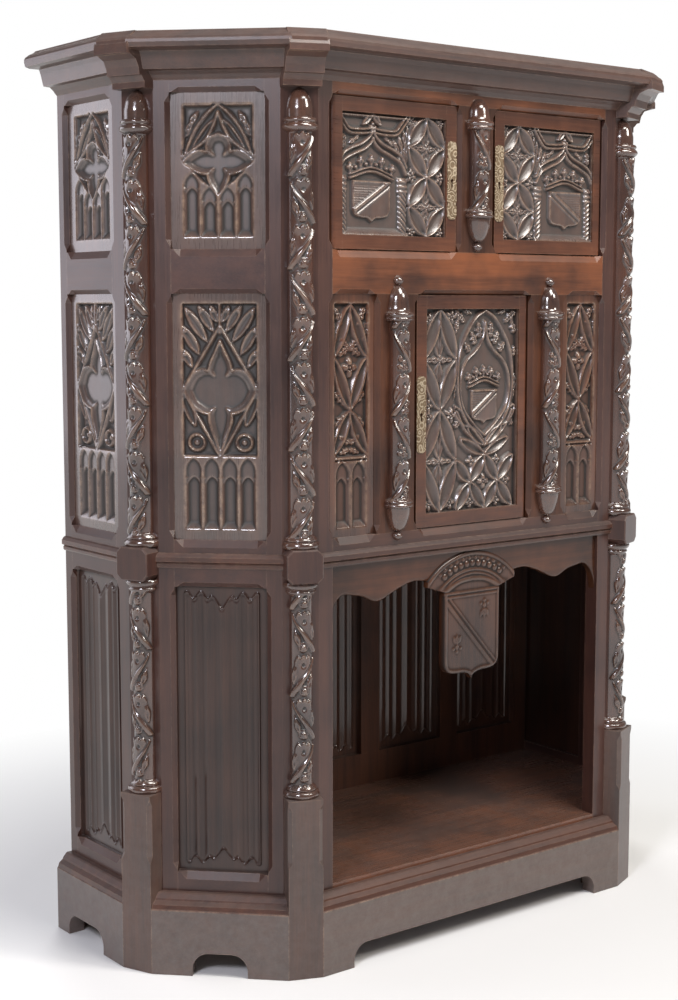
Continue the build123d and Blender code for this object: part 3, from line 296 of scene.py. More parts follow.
doors = ("left", "right", "centre")
nodeFinish = {
    "uprights": [f"post_{corner}_{side}" for corner in ("front", "side") for side in ("left", "right")]
    + ["back_posts", "waist_blocks"],
    "muntins": ["upper_muntin", "lower_muntins"],
    "feet": ["pedestals"],
    "plinth": ["plinth_front", "plinth_cants", "plinth_sides"],
    "mouldings": ["plinth_moulding", "waist_moulding"],
    "cornice": ["cornice_moulding", "top_board"],
    "boards": ["niche_floor"],
    "inside": ["cupboard_floor", "shelf", "back_frame", "upper_back_boards"],
    "iron": ["pivot_pins"] + [f"{part}_{door}" for part in ("lock", "bolt") for door in doors],
    "brass": [f"escutcheon_{door}" for door in doors],
    "rails": ["front_mid_rail", "front_top_rail"],
    "lowRails": ["front_floor_rail", "front_waist_rail"],
    "cantRails": ["cant_rails"],
    "sideRails": ["side_rails"],
    "doorFrames": [f"door_{door}_frame" for door in doors],
}
for finishName, names in nodeFinish.items():
    for name in names:
        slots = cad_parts[name].data.materials
        slots.clear()
        slots.append(finishes[finishName])
print("finishes on the plain pieces")

# places of the faces, and meshes

places = {  # plan point of each face, and how far it is turned from the front
    "front": (0, -201.713, 0),
    "cant": (-503.788, -98.972, 45),
    "side": (-606.529, 147.316, 90),
    "frontCorner": (-395.817, -189.085, 22.5),
    "sideCorner": (-593.900, 8.999, 67.5),
    "back": (0, 247.816, 0),
}


def toRoom(place, along, depth, up, mirrored):
    # a turn about the upright, a shift in plan, a flip for the right end, and millimetres to metres
    middleX, middleY, degrees = places[place]
    turn = np.radians(degrees)
    x = middleX + along * np.cos(turn) + depth * np.sin(turn)
    y = middleY - along * np.sin(turn) + depth * np.cos(turn)
    if mirrored:
        x = -x
    return np.stack([x, y, up], axis=-1).reshape(-1, 3) * 0.001


class Shell:
    # gathers the closed surfaces of one piece
    def __init__(self):
        self.points = []
        self.worn = []
        self.faces = []
        self.count = 0

    def add(self, place, along, depth, up, worn, faces, mirrored=False):
        for group in faces:
            ordered = [face[::-1] for face in group] if mirrored else group
            self.faces += [[index + self.count for index in face] for face in ordered]
        self.points.append(toRoom(place, along, depth, up, mirrored))
        self.worn.append(worn.reshape(-1))
        self.count += worn.size

    def finish(self, name, body, nodes, finishName, slotName):
        mesh = bpy.data.meshes.new(name)
        mesh.from_pydata(np.concatenate(self.points).tolist(), [], self.faces)
        mesh.polygons.foreach_set("use_smooth", np.ones(len(mesh.polygons), bool))
        mesh.set_sharp_from_angle(angle=np.radians(52))
        worn = mesh.attributes.new("worn", "FLOAT", "POINT")
        worn.data.foreach_set("value", np.concatenate(self.worn).astype(np.float32))
        mesh.materials.append(finishes[finishName])
        mesh.update()
        piece = newObject(name, mesh)
        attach(piece, body)
        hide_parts(*nodes)
        print(name, "made,", len(mesh.polygons), "faces")


def numbered(grid):
    # the number of each point of a grid, row by row
    return np.arange(grid.size).reshape(grid.shape)


def quads(*corners):
    # faces from four arrays of corner numbers
    return np.stack(corners, axis=-1).reshape(-1, 4).tolist()


def gridQuads(index):
    # quads of a grid of numbered points, facing the front
    return quads(index[:-1, :-1], index[:-1, 1:], index[1:, 1:], index[1:, :-1])


def unit(value):
    # held between 0 and 1
    return np.clip(value, 0, 1)


def soften(height, times):
    # each point becomes the mean of itself and its four neighbours, several times over
    for _ in range(times):
        wide = np.pad(height, 1, mode="edge")
        middle = wide[1:-1, 1:-1]
        height = (middle + wide[:-2, 1:-1] + wide[2:, 1:-1] + wide[1:-1, :-2] + wide[1:-1, 2:]) / 5
    return height


def wornFrom(height, reach=1.2):
    # +1 on ridges, -1 in hollows: the height less its own softened copy
    return np.clip((height - soften(height, 12)) / reach, -1, 1)


def boardShell(shell, place, along, depth, up, back, worn, mirrored=False):
    # closed board: a carved front grid, walls from its rim straight back, and a flat back
    index = numbered(depth)
    rim = np.concatenate([index[0, :-1], index[:-1, -1], index[-1, :0:-1], index[:0:-1, 0]])
    ring = depth.size + np.arange(len(rim))
    faces = [gridQuads(index), quads(rim, ring, np.roll(ring, -1), np.roll(rim, -1)), [ring[::-1].tolist()]]
    along = np.append(along, along.flat[rim])
    up = np.append(up, up.flat[rim])
    depth = np.append(depth, np.full(len(rim), back))
    worn = np.append(worn, np.zeros(len(rim)))
    shell.add(place, along, depth, up, worn, faces, mirrored)


# lines and forms for carving; every height is above the ground of the carving

carving = {
    "relief": 9.0,  # ground below the face of the panel
    "step": 1.5,  # spacing of the grid
    "lap": 7,
    "depth": 9,  # face of a panel behind the frame
    "back": 23,
}
full = carving["relief"]


def curve(points, count=8):
    # smooth line through points: a Catmull-Rom cubic between each pair of neighbours
    given = np.array(points, float)
    p = np.vstack([2 * given[0] - given[1], given, 2 * given[-1] - given[-2]])
    t = np.linspace(0, 1, count, endpoint=False)[:, None]
    spans = []
    for a, b, c, d in zip(p[:-3], p[1:-2], p[2:-1], p[3:]):
        square = (2 * a - 5 * b + 4 * c - d) * t**2
        cube = (3 * b - a - 3 * c + d) * t**3
        spans.append(0.5 * (2 * b + (c - a) * t + square + cube))
    return np.vstack(spans + [given[-1:]])


def mirroredLine(points, middle):
    # the same line on the other side of an upright axis
    return [(2 * middle - x, z) for x, z in points]


def distance(x, z, line):
    # least distance of each grid point from the straight runs of a line
    best = np.full(x.shape, 1e6)
    for (ax, az), (bx, bz) in zip(line[:-1], line[1:]):
        dx, dz = bx - ax, bz - az
        t = unit(((x - ax) * dx + (z - az) * dz) / (dx * dx + dz * dz + 1e-9))
        best = np.minimum(best, np.hypot(x - ax - t * dx, z - az - t * dz))
    return best


def within(x, z, line):
    # distance inside a closed line, negative outside: a ray upwards crosses it an odd number of times
    closed = np.vstack([line, line[:1]])
    crossed = np.zeros(x.shape, bool)
    for (ax, az), (bx, bz) in zip(closed[:-1], closed[1:]):
        if ax != bx:
            between = (ax > x) != (bx > x)
            crossed ^= between & (z < az + (x - ax) * (bz - az) / (bx - ax))
    reach = distance(x, z, closed)
    return np.where(crossed, reach, -reach)


def outlined(x, z, runs):
    # distance inside a closed outline, from the smooth runs of its right half, top to bottom
    half = np.vstack([curve(runs[0], 5)] + [curve(run, 5)[1:] for run in runs[1:]])
    return within(x, z, np.vstack([half, mirroredLine(half[-2:0:-1], 0)]))


def fromLine(x, z, start, end):
    # share of the way from start to end, and distance to the right of that way
    dx, dz = end[0] - start[0], end[1] - start[1]
    length = np.hypot(dx, dz)
    t = ((x - start[0]) * dx + (z - start[1]) * dz) / length**2
    return t, ((x - start[0]) * dz - (z - start[1]) * dx) / length


def roll(reach, half, high):
    # round bead: half an ellipse over its width
    return high * np.sqrt(unit(1 - (reach / half) ** 2))


def ridge(reach, half, high=full):
    # narrow crown with hollow flanks that fall to the ground
    return high * (1 - unit((reach - 0.9) / (half - 0.9))) ** 1.45


def foil(inner, outer):
    # cusped tracery light: ground and a step inside the inner outline, a hollow rising to a sharp ridge on
    # the outer outline, and a short fall outside it
    inside = np.interp(inner, [0, 0.5, 2.4, 3.2], [0.46, 0.3, 0.28, 0])
    hollow = 0.42 + 0.58 * unit(-inner / np.maximum(outer - inner, 0.01)) ** 1.8
    outside = np.interp(-outer, [0, 0.9, 4.5], [1, 1, 0])
    return full * np.where(inner > 0, inside, np.where(outer > 0, hollow, outside))


def petal(x, z, start, end, width, high=full, dip=0.82, skirt=8):
    # scooped leaf between two points: sharp rims, a cosine scoop between them, hollow flanks outside
    t, side = fromLine(x, z, start, end)
    side = np.abs(side)
    half = 0.5 * width * unit(1 - (2 * t - 1) ** 2)
    share = unit(side / np.maximum(half, 0.01))
    scoop = 1 - dip * np.cos(share * np.pi / 2) * unit(half / (0.24 * width))
    flank = (1 - unit((side - half) / skirt)) ** 1.5
    return high * np.where(side <= half, scoop, flank) * (np.abs(t - 0.5) < 0.5)


def leaf(x, z, start, end, width, high, lobes=3):
    # domed leaf with lobed edges and a sunk midrib
    dx, dz = end[0] - start[0], end[1] - start[1]
    t = unit(fromLine(x, z, start, end)[0])
    side = np.hypot(x - start[0] - t * dx, z - start[1] - t * dz)
    half = 0.5 * width * np.sin(np.pi * t**0.75) ** 0.8 * (1 - 0.3 * np.cos(2 * np.pi * lobes * t))
    dome = roll(side, np.maximum(half, 0.01), high)
    veins = 0.16 * np.cos(2 * np.pi * (lobes * 2 * t - side / width * 2))
    return dome * (0.9 + veins - 0.45 * np.exp(-((side / 1.1) ** 2)))


def berry(x, z, middle, radius, high, drilled=True):
    # round bead, drilled in its middle
    reach = np.hypot(x - middle[0], z - middle[1])
    bead = roll(reach, radius, high)
    if drilled:
        bead = bead - high * 0.9 * np.exp(-((reach / (radius * 0.36)) ** 2))
    return np.maximum(bead, 0)


def rosette(x, z, middle, radius, high, petals=4, tilt=0):
    # flower: petals by the cosine of the angle, round an eye
    reach = np.hypot(x - middle[0], z - middle[1])
    angle = np.arctan2(z - middle[1], x - middle[0]) - tilt
    fold = np.abs(np.cos(petals * angle / 2))
    body = roll(reach, radius * (0.45 + 0.55 * fold), high) * (0.72 + 0.28 * fold)
    return np.maximum(body * (reach > radius * 0.24), roll(reach, radius * 0.2, high * 1.05))


def joined(*heights):
    # the highest form wins
    return np.maximum.reduce(heights)


def several(form, x, z, rows, *values):
    # the same form again and again: each row gives what differs
    return joined(*[form(x, z, *row, *values) for row in rows])


def ridges(x, z, lines, half, high=full, count=6):
    # a ridge along each of several smooth lines
    return joined(*[ridge(distance(x, z, curve(line, count)), half, high) for line in lines])


def star(x, z, middle, reachX, reachZ, high):
    # middle of a cell: level leaf both ways, upright leaves with a deep midrib, and a knot
    cx, cz = middle
    forms = [rosette(x, z, middle, min(reachX, reachZ) * 0.3, high)]
    for sign in (-1, 1):
        forms.append(leaf(x, z, middle, (cx + sign * reachX, cz), reachX * 0.34, high * 0.95, 2))
        forms.append(leaf(x, z, middle, (cx, cz + sign * reachZ), reachX * 0.62, high * 0.62, 1))
    return joined(*forms)


def cell(left, right, top, bottom):
    # the four sides of a lozenge
    middleX, middleZ = (left + right) / 2, (top + bottom) / 2
    corners = [(middleX, top), (right, middleZ), (middleX, bottom), (left, middleZ)]
    return [(corners[i], corners[(i + 1) % 4]) for i in range(4)]


def smallShaft(x, z, middle, half, low, high, top):
    # small shaft cut with a spiral, under a ringed head
    reach = np.abs(x - middle)
    twist = np.sin((z + 0.9 * (x - middle)) * 2 * np.pi / 9)
    body = roll(reach, half, top) * (0.78 + 0.22 * twist)
    head = roll(reach, half * 1.2, top) * (0.82 + 0.18 * np.sin((z - high) * 2 * np.pi / 9))
    return np.where((z > low) & (z < high + 27), np.where(z > high, head, body), 0)


def crownForm(x, z, middle, base, width, tall):
    # crown over a shield: an arched band, five fleurons and the pearls between them
    half = width / 2
    forms = []
    for lift, thick, share in ((0, 4.2, 1), (6.5, 3.4, 0.75)):
        low = base - tall * 0.35 + lift
        line = [(middle - half, low), (middle, base + lift), (middle + half, low)]
        forms.append(ridges(x, z, [line], thick, full * share, 10))
    for index in range(9):
        share = index / 4 - 1
        at = middle + share * half * 0.96
        foot = base + 7 - tall * 0.33 * share**2
        if index % 2:
            forms.append(berry(x, z, (at, foot + 6), 3.6, full * 0.8, False))
        else:
            lift = tall * (0.55 if index in (0, 8) else 0.68)
            forms.append(rosette(x, z, (at + share * 2, foot + lift * 0.62), 8.2, full, 3, np.pi / 2))
            forms.append(leaf(x, z, (at, foot), (at + share * 3, foot + lift), 6, full * 0.9, 1))
    return joined(*forms)


def shieldLine(left, right, top, bottom):
    # shield with square shoulders, rounded lower corners and a small point
    middle = (left + right) / 2
    half = (right - left) / 2
    floor = bottom + 0.11 * (top - bottom)
    lower = [(right, top - 0.72 * (top - bottom)), (right - 0.16 * half, floor + 3)]
    lower += [(right - 0.5 * half, floor - 0.5), (middle + 0.22 * half, floor - 1.5), (middle, bottom)]
    rightSide = curve(lower, 6)
    return np.vstack([[(left, top), (right, top)], rightSide, mirroredLine(rightSide[-2::-1], middle)])


def armsForm(x, z, line, bend):
    # raised shield, a bend of a broad and a thin bar, and fine level lines above it
    inner = within(x, z, line)
    height = full * 0.7 * unit(inner / 1.6 + 0.5)
    below = fromLine(x, z, *bend)[1]
    held = (inner > 1.8) * full
    height += held * 0.3 * unit(3.9 - np.abs(below))
    height += held * 0.2 * unit(1.7 - np.abs(below - 9))
    height -= held * (below < -4.5) * unit(0.5 + 1.5 * np.sin(z * 2 * np.pi / 4.2)) * 0.1
    return height + held * 0.25 * unit(2.4 - np.abs(z - line[0][1] + 3))


def lights(x, z, heads, foot, drop):
    # blind pointed lights: an arched recess, a deeper one with a lower head in it, and two cusps between
    height = np.full(x.shape, full)
    for middle, width, top in heads:
        side = np.abs(x - middle)
        half = width / 2
        spring = top - half * 1.6
        arch = half * 1.9 - np.hypot(side + half * 0.9, np.maximum(z - spring, 0) * 1.05)
        outer = np.where(side < half + 2, np.minimum(arch, z - foot), -9)
        narrow = half - 4.4
        low = top - drop
        lowArch = narrow * 1.6 - np.hypot(side + narrow * 0.6, np.maximum(z - low + narrow * 1.1, 0))
        inner = np.minimum(lowArch, z - foot - 7)
        cusps = ridge(np.hypot(side - half + 2.2, (z - low - 2) * 0.8), 4, full * 0.9)
        sunk = np.interp(outer, [0, 3.2], [0, 0.52]) + np.interp(inner, [0, 1.5], [0, 0.48])
        floor = np.maximum(full * (1 - sunk), cusps * (outer > 0))
        sill = full * unit((foot + 12 - z) / 12)
        height = np.minimum(height, np.maximum(floor, sill))
    return height


def framed(height, side, half, z, low, high):
    # the carving inside its plain border
    return np.where((side < half) & (z > low) & (z < high), height, full)


# carved fields

def doorField(x, z):
    # upper left door: crowned arms under an ogee arch beside a net of scooped leaves
    middle = -237
    arches = [
        [(-313, 1430), (-303, 1448), (-284, 1459), (-262, 1467), (-246, 1478), (-237, 1489)],
        [(-313, 1418), (-301, 1437), (-278, 1449), (-254, 1459), (-241, 1470), (-237, 1478)],
    ]
    arches += [mirroredLine(line, middle) for line in arches]
    band = curve([(-316, 1518), (-303, 1502), (-289, 1489), (-262, 1488), (-237, 1491)], 6)
    bands = [ridge(np.abs(distance(x, z, line) - 3.5), 4.6) for line in (band, mirroredLine(band, middle))]
    folds = [
        ((-164, 1424), (-190, 1482), 11), ((-161, 1428), (-178, 1492), 10), ((-159, 1432), (-166, 1502), 9),
        ((-156, 1440), (-157, 1512), 8), ((-301, 1456), (-299, 1484), 12), ((-288, 1466), (-264, 1482), 9),
        ((-186, 1466), (-212, 1482), 9), ((-150, 1498), (-136, 1517), 10), ((-150, 1430), (-140, 1418), 12),
    ]
    tips = [((-237, 1519), (-259, 1499)), ((-237, 1519), (-219, 1500))]
    net = cell(-155, -72, 1519, 1415) + cell(-155, -72, 1415, 1310)
    knots = [((across, up), 13) for across in (-80, -147) for up in (1414, 1512, 1317)]
    height = joined(
        ridges(x, z, arches, 6), *bands, ridge(np.abs(z - 1515), 4.5) * (x < -158),
        several(petal, x, z, tips, 9, full, 0.4, 3), rosette(x, z, (middle, 1497), 10, full * 1.05),
        several(leaf, x, z, folds, full * 0.8, 2),
        several(smallShaft, x, z, [(-302, 8), (-168, 10)], 1312, 1385, full * 0.9),
        armsForm(x, z, shieldLine(-282, -197, 1404, 1332), ((-278, 1352), (-201, 1403))),
        crownForm(x, z, -239, 1420, 96, 36), several(petal, x, z, net, 26),
        several(star, x, z, [((-113.5, 1465), 36), ((-113.5, 1362), 36)], 36, full * 0.85),
        several(rosette, x, z, knots, full * 0.75, 5),
    )
    sill = unit((1322 - z) / 11) * full
    return np.where(x < -158, np.maximum(height, sill), height)


def centreField(x, z):
    # centre door: a strip of long leaves, a great almond round crowned arms, and a net below it
    side = 35 + np.abs(x - 35)
    outer = [
        (35, 1178), (60, 1163), (84, 1132), (99, 1100), (104, 1060), (101, 1015), (86, 978), (60, 952), (35, 926),
    ]
    inner = [
        (35, 1156), (41, 1126), (58, 1103), (80, 1086), (94, 1062), (97, 1030), (88, 996), (62, 966), (35, 944),
    ]
    foot = [(104, 990), (86, 958), (60, 934), (35, 910)]
    sprays = [
        ((48, 1126), (52, 1158), 15), ((57, 1114), (70, 1140), 15), ((72, 1100), (86, 1120), 13),
        ((112, 1178), (84, 1154), 17), ((112, 1134), (101, 1162), 14), ((88, 1178), (66, 1172), 10),
        ((108, 1090), (112, 1112), 9), ((112, 1060), (110, 1010), 9), ((108, 960), (96, 978), 12),
    ]
    stems = [((35, 926), (78, 962)), ((35, 908), (96, 938)), ((78, 962), (112, 1000))]
    almond = joined(
        ridges(side, z, [outer], 7), ridges(side, z, [inner, foot], 6, full * 0.9),
        several(leaf, side, z, sprays, full * 0.85), several(petal, side, z, stems, 17, full * 0.95),
    )
    strip = cell(-118, -38, 1180, 995) + cell(-118, -38, 995, 806)
    corners = ((-104, 1160), (-50, 1166), (-106, 1004), (-106, 984), (-50, 984), (-104, 822), (-52, 822))
    lozenges = [
        ((35, 908), (67, 857)), ((67, 857), (35, 806)), ((35, 908), (-2, 857)), ((-2, 857), (35, 806)),
        ((67, 857), (108, 905)), ((67, 857), (106, 806)), ((-2, 857), (-40, 900)), ((-2, 857), (-36, 806)),
    ]
    eyes = [
        ((34, 857), 16), ((92, 857), 14), ((67, 897), 12), ((67, 818), 12), ((2, 897), 12), ((0, 818), 12),
    ]
    return joined(
        several(petal, x, z, strip, 27), several(star, x, z, [((-78, 1087), 36), ((-78, 900), 36)], 60, full * 0.85),
        several(rosette, x, z, [(middle, 16) for middle in corners], full * 0.8, 5), almond * (x > -40),
        armsForm(x, z, shieldLine(0, 66, 1031, 966), ((2, 986), (62, 1030))),
        crownForm(x, z, 33, 1047, 74, 32), several(petal, x, z, lozenges, 22) * (z < 916),
        several(rosette, x, z, eyes, full * 0.8),
    )


def narrowField(x, z):
    # narrow front panel: two pointed ovals of scooped leaves over two trefoiled lights
    left, right, middle = -323, -250, -286.5
    side = np.abs(x - middle)
    net = cell(left, right, 1189, 1003) + cell(left, right, 1003, 846)
    sprays = [
        ((0, 1116), (26, 1098), 15), ((2, 1112), (22, 1130), 13), ((34, 1184), (16, 1150), 14),
        ((33, 1036), (8, 1010), 14), ((33, 972), (8, 998), 14), ((0, 944), (24, 958), 13),
        ((0, 934), (24, 926), 11), ((30, 1122), (36, 1160), 9),
    ]
    height = joined(
        several(petal, x, z, net, 21), several(leaf, side, z, sprays, full * 0.8),
        rosette(x, z, (middle, 1078), 19, full * 0.85), ridge(np.abs(z - 918), 6.5),
    )
    heads = [(middle - 18.2, 31, 913), (middle + 18.2, 31, 913)]
    height = np.where(z < 913, lights(x, z, heads, 795, 34), height)
    return framed(height, side, right - middle, z, 795, 1190)


def traceryField(x, z):
    # upper end panel: pointed arch over a pointed quatrefoil and four lights
    side = np.abs(x)
    arch = distance(side, z, curve([(0, 1527), (22, 1508), (42, 1480), (60, 1438)]))
    gable = distance(side, z, curve([(0, 1514), (9, 1490), (24, 1465), (60, 1440)]))
    lower = distance(side, z, curve([(0, 1506), (20, 1491), (36, 1470), (46, 1452)]))
    height = joined(ridge(arch, 6.5), ridge(gable, 6.5), ridge(lower, 4, full * 0.65) * (gable > 3))
    spandrel = (arch > 5) & (z > 1440) & (side + (z - 1440) * 0.66 > 60)
    frond = leaf(side, z, (60, 1470), (34, 1518), 15, full * 0.7, 2)
    border = ridge(np.minimum(61 - side, 1526 - z), 5)
    height = np.where(spandrel, joined(frond, border, height), height)
    light = outlined(x, z, [
        [(0, 1468), (8, 1465.5), (12.5, 1458), (13, 1450), (10, 1442.5)],
        [(10, 1442.5), (19, 1445), (30, 1443.5), (41, 1438), (51, 1430)],
        [(51, 1430), (40, 1422), (29, 1417.5), (18, 1416), (10, 1418)],
        [(10, 1418), (12.5, 1409), (9.5, 1398), (4.5, 1389), (0, 1383)],
    ])
    around = outlined(x, z, [
        [(0, 1477), (14, 1471), (20.5, 1458), (19, 1446)],
        [(19, 1446), (34, 1449), (48, 1442), (60, 1430), (48, 1420), (33, 1412), (19, 1410)],
        [(19, 1410), (16, 1396), (8, 1383), (0, 1373)],
    ])
    eye = foil(light, around)
    panes = lights(side, z, [(46.5, 28, 1412), (15.8, 28, 1389)], 1303, 29)
    height = np.where((z < 1375 + side * 0.9) & (z < 1430), panes, height)
    height = np.where(around > 0, eye, joined(height, eye))
    return framed(height, side, 61, z, 1302, 1527)


def lozengeField(x, z):
    # middle end panel: a lozenge round a pointed quatrefoil, leaf sprays, and four tall lights
    side = np.abs(x)
    rhomb = distance(side, z, [(0, 1152), (66, 1041), (0, 924)])
    stem = distance(side, z, [(0, 1140), (0, 1190)])
    light = outlined(x, z, [
        [(0, 1114), (6, 1102), (12, 1089), (14.5, 1077), (11, 1066)],
        [(11, 1066), (21, 1070), (33, 1067.5), (44, 1058), (52, 1041)],
        [(52, 1041), (44, 1023), (33, 1013), (21, 1007), (11, 1009)],
        [(11, 1009), (14, 999), (12, 982), (7, 963), (0, 944)],
    ])
    around = outlined(x, z, [
        [(0, 1126), (8, 1107), (16, 1090), (21, 1074)],
        [(21, 1074), (35, 1076), (50, 1066), (62, 1041), (50, 1016), (35, 1004), (20, 1000)],
        [(20, 1000), (19, 984), (11, 960), (0, 932)],
    ])
    eye = foil(light, around)
    height = np.where(around > 0, eye, joined(ridge(rhomb, 7), ridge(stem, 5.5), eye))
    sprays = [
        ((5, 1158), (16, 1187), 11), ((11, 1142), (38, 1187), 15), ((22, 1124), (62, 1184), 17),
        ((36, 1102), (66, 1152), 16), ((49, 1080), (66, 1112), 12),
    ]
    buds = [((end[0] - 5, end[1] - 9), 4.6) for _, end, _ in sprays]
    ring = np.abs(np.hypot(side - 42, z - 950) - 13.5)
    height = joined(
        height, several(petal, side, z, sprays, full * 0.95, 0.5, 3), several(berry, side, z, buds, full, False),
        petal(side, z, (64, 1030), (44, 978), 15, full * 0.9, 0.7, 4), ridge(ring, 5),
        berry(side, z, (42, 950), 6, full * 0.45, False), ridge(np.abs(z - 926), 4.5, full * 0.9),
    )
    panes = lights(side, z, [(48, 29, 924), (16, 29, 924)], 798, 38)
    height = np.where(z < 924, joined(panes, ridge(rhomb, 5)), height)
    return framed(height, side, 64.5, z, 797, 1189)


def linenField(x, z, low, high, half):
    # folded cloth: broad hollows between ridges, ended by a rippled hem with a ribbon edge
    side = np.abs(x) / half
    stations = [0, 0.05, 0.2, 0.36, 0.41, 0.52, 0.63, 0.68, 0.8, 0.93, 0.97, 1]
    levels = [8, 6.4, 3.4, 5.2, 7, 3, 4.4, 7.4, 3.2, 5.4, 7.4, 6.4]
    folds = np.interp(side, stations, levels)
    hem = 22 * np.exp(-((side / 0.16) ** 2)) + 6 * np.sin(unit(side - 0.28) * 17)
    inside = np.minimum(np.minimum(high - 8 - hem - z, z - low - 8 - hem), (1 - side) * half)
    lip = 1.3 * np.exp(-(((inside - 2) / 1.5) ** 2)) - 0.9 * np.exp(-(((inside - 6) / 1.6) ** 2))
    ease = unit(inside / 1.3)
    near = np.exp(-np.clip(inside, 0, 200) / 8)
    cloth = folds * (1 - 0.6 * near) + 6.4 * 0.6 * near + lip
    return 4.4 * (1 - ease) + cloth * ease


# boards and panels

def carvedBoard(shell, place, field, low, high, foot, head, face=carving["depth"], back=carving["back"],
                mirrored=False, shift=0, step=carving["step"], plainMiddle=None):
    # board behind an opening, its front sunk by the relief less the height of the carving
    lap = carving["lap"]
    columns = np.linspace(low - lap, high + lap, int((high - low + 2 * lap) / step) + 2)
    levels = np.linspace(foot - lap, head + lap, int((head - foot + 2 * lap) / step) + 2)
    if plainMiddle:  # few rows of points where the folds run straight
        near = np.minimum(levels - foot, head - levels) < plainMiddle
        levels = np.unique(np.where(near, levels, np.round(levels / (10 * step)) * 10 * step))
    x, z = np.meshgrid(columns, levels)
    height = field(x - shift, z)
    border = np.minimum(np.minimum(x - low, high - x), np.minimum(z - foot, head - z)) < 0.5
    height = np.where(border, full, height if plainMiddle else soften(height, 1))
    sunk = 0.3 * (1 - height / full)  # the ground is duller and darker than the forms on it; the darkening is dust and painted shade
    worn = 0.3 * wornFrom(height) if plainMiddle else np.clip(wornFrom(height) - sunk, -1, 1)
    boardShell(shell, place, x, face + full - height, z, back, worn, mirrored)


def makePanel(name, body, nodes, boards, finishName="carving", slotName="oak_carved"):
    # one piece from several carved boards
    shell = Shell()
    for values in boards:
        carvedBoard(shell, **values)
    shell.finish(name, body, nodes, finishName, slotName)


def bothEnds(**values):
    # the same board on the left and, mirrored, on the right
    return [dict(values, mirrored=mirrored) for mirrored in (False, True)]


upperDoor = {"field": doorField, "low": -309.55, "high": -71.5, "foot": 1309.5, "head": 1519.5}
doorPanels = {
    "left": upperDoor,
    "right": dict(upperDoor, mirrored=True),
    "centre": {"field": centreField, "low": -115.5, "high": 115.5, "foot": 806.5, "head": 1180.5},
}
for door, values in doorPanels.items():
    board = dict(values, place="front", face=8, back=24, step=1.12)
    makePanel(f"doorPanel_{door}", f"door_{door}", [f"door_{door}_panel"], [board])

ends = {
    "cant": {"low": -82, "high": 82, "shift": 0},
    "side": {"low": -97.5, "high": 66.5, "shift": -15.5},
}
stages = {  # field, sill, head, plain middle, finish
    "upper": (traceryField, 1283, 1546, None, "carving"),
    "middle": (lozengeField, 780, 1207, None, "carving"),
    "linenfold": (lambda x, z: linenField(x, z, 190, 690, 68), 180, 697, 60, "linen"),
}
for end, span in ends.items():
    for stage, (field, foot, head, plainMiddle, finishName) in stages.items():
        boards = bothEnds(place=end, field=field, foot=foot, head=head, plainMiddle=plainMiddle, **span)
        makePanel(f"{end}Panels_{stage}", "carcass", [f"{end}_{stage}_panels"], boards, finishName)

narrow = {
    "place": "front", "field": narrowField, "low": -335.05, "high": -236, "foot": 780, "head": 1207,
    "step": 1.25,
}
makePanel("frontPanels", "carcass", ["front_panels"], bothEnds(**narrow), "frontCarving")

niche = {
    "place": "back", "field": lambda x, z: linenField(x, z, 232, 690, 74), "foot": 223, "head": 697,
    "back": 21, "step": 2, "plainMiddle": 60,
}
nicheHalf = 88
boards = [
    dict(niche, low=middle - nicheHalf, high=middle + nicheHalf, shift=middle)
    for middle in (-452, -226, 0, 226, 452)
]
makePanel("nichePanels", "carcass", ["niche_back_panels"], boards, "insideCarving", "oak_inside")


# turned and carved shafts

shafts = {
    "pitch": 1.35,  # spacing of the grid
    "sink": 4.6,  # ground of the vine below the round of the shaft
    "rise": 1.4,
    "period": 155,
    "upperRadius": 27,
    "lowerRadius": 25,
    "smallRadius": 24,
    "ring": 31.5,
    "smallRing": 29,
    "lowerCarved": (345, 688),
    "upperCarved": (788, 1479),
}


def vine(u, z, radius, start, berries):
    # A stem crosses from side to side every half period. Above each crossing hangs a hooded leaf with
    # a scalloped rim and a drilled eye, and below it a leaf and a curled tip, or berries.
    top = shafts["sink"] + shafts["rise"]
    half = shafts["period"] / 2
    w = np.mod(z - start, half)
    step = np.floor((z - start) / half)
    sign = np.where(np.mod(step, 2) < 0.5, 1, -1)
    v = u * sign / (radius / shafts["upperRadius"])
    rising = [(-29, 0), (-23, 8), (-12, 19), (0, 33), (12, 47), (21, 59), (26, 68)]
    thick = np.interp(v, [-26, -12, 8, 26], [6.6, 6.8, 4.2, 1.6])
    stem = roll(distance(v, w, curve(rising, 4)), thick, top * np.interp(v, [-26, 0, 26], [1, 1, 0.75]))
    above = w - np.interp(v, *zip(*rising))
    scallops = np.abs(np.cos((v + 1) * np.pi / 12.5))
    under = 70 + 5.5 * scallops - 0.016 * v**2 - w
    lift = 0.42 + 0.2 * scallops * unit(w / 70) ** 2 + 0.4 * np.exp(-np.clip(under, 0, 99) / 9)
    hood = roll(v + 1, 21, top) * lift * unit(under / 1.2 + 0.4) * unit((above - 5) / 4)
    eye = np.exp(-((np.hypot(v + 1, w - 57) / 3.4) ** 2))
    hood = np.maximum(hood - top * 1.05 * eye, 0)
    flank = leaf(v, w, (-24, 22), (-17, 62), 13, top * 0.8, 1)
    if berries:
        tips = joined(
            berry(v, w, (2, 17), 6.2, top), berry(v, w, (11, 24), 5.6, top * 0.95),
            berry(v, w, (-5, 8), 5, top * 0.9), leaf(v, w, (-2, 6), (20, 12), 11, top * 0.8, 2),
        )
    else:
        reach = np.hypot((v - 1) / 11.5, (w - 11) / 9.5)
        curl = roll(reach, 1, top) - top * 0.55 * np.exp(-(((reach - 0.6) / 0.13) ** 2)) * (w > 8)
        tips = joined(np.maximum(curl, 0), leaf(v, w, (8, 12), (22, 44), 12, top * 0.85, 1))
    return joined(hood, flank * (above > 0), tips * (above < -4), stem)


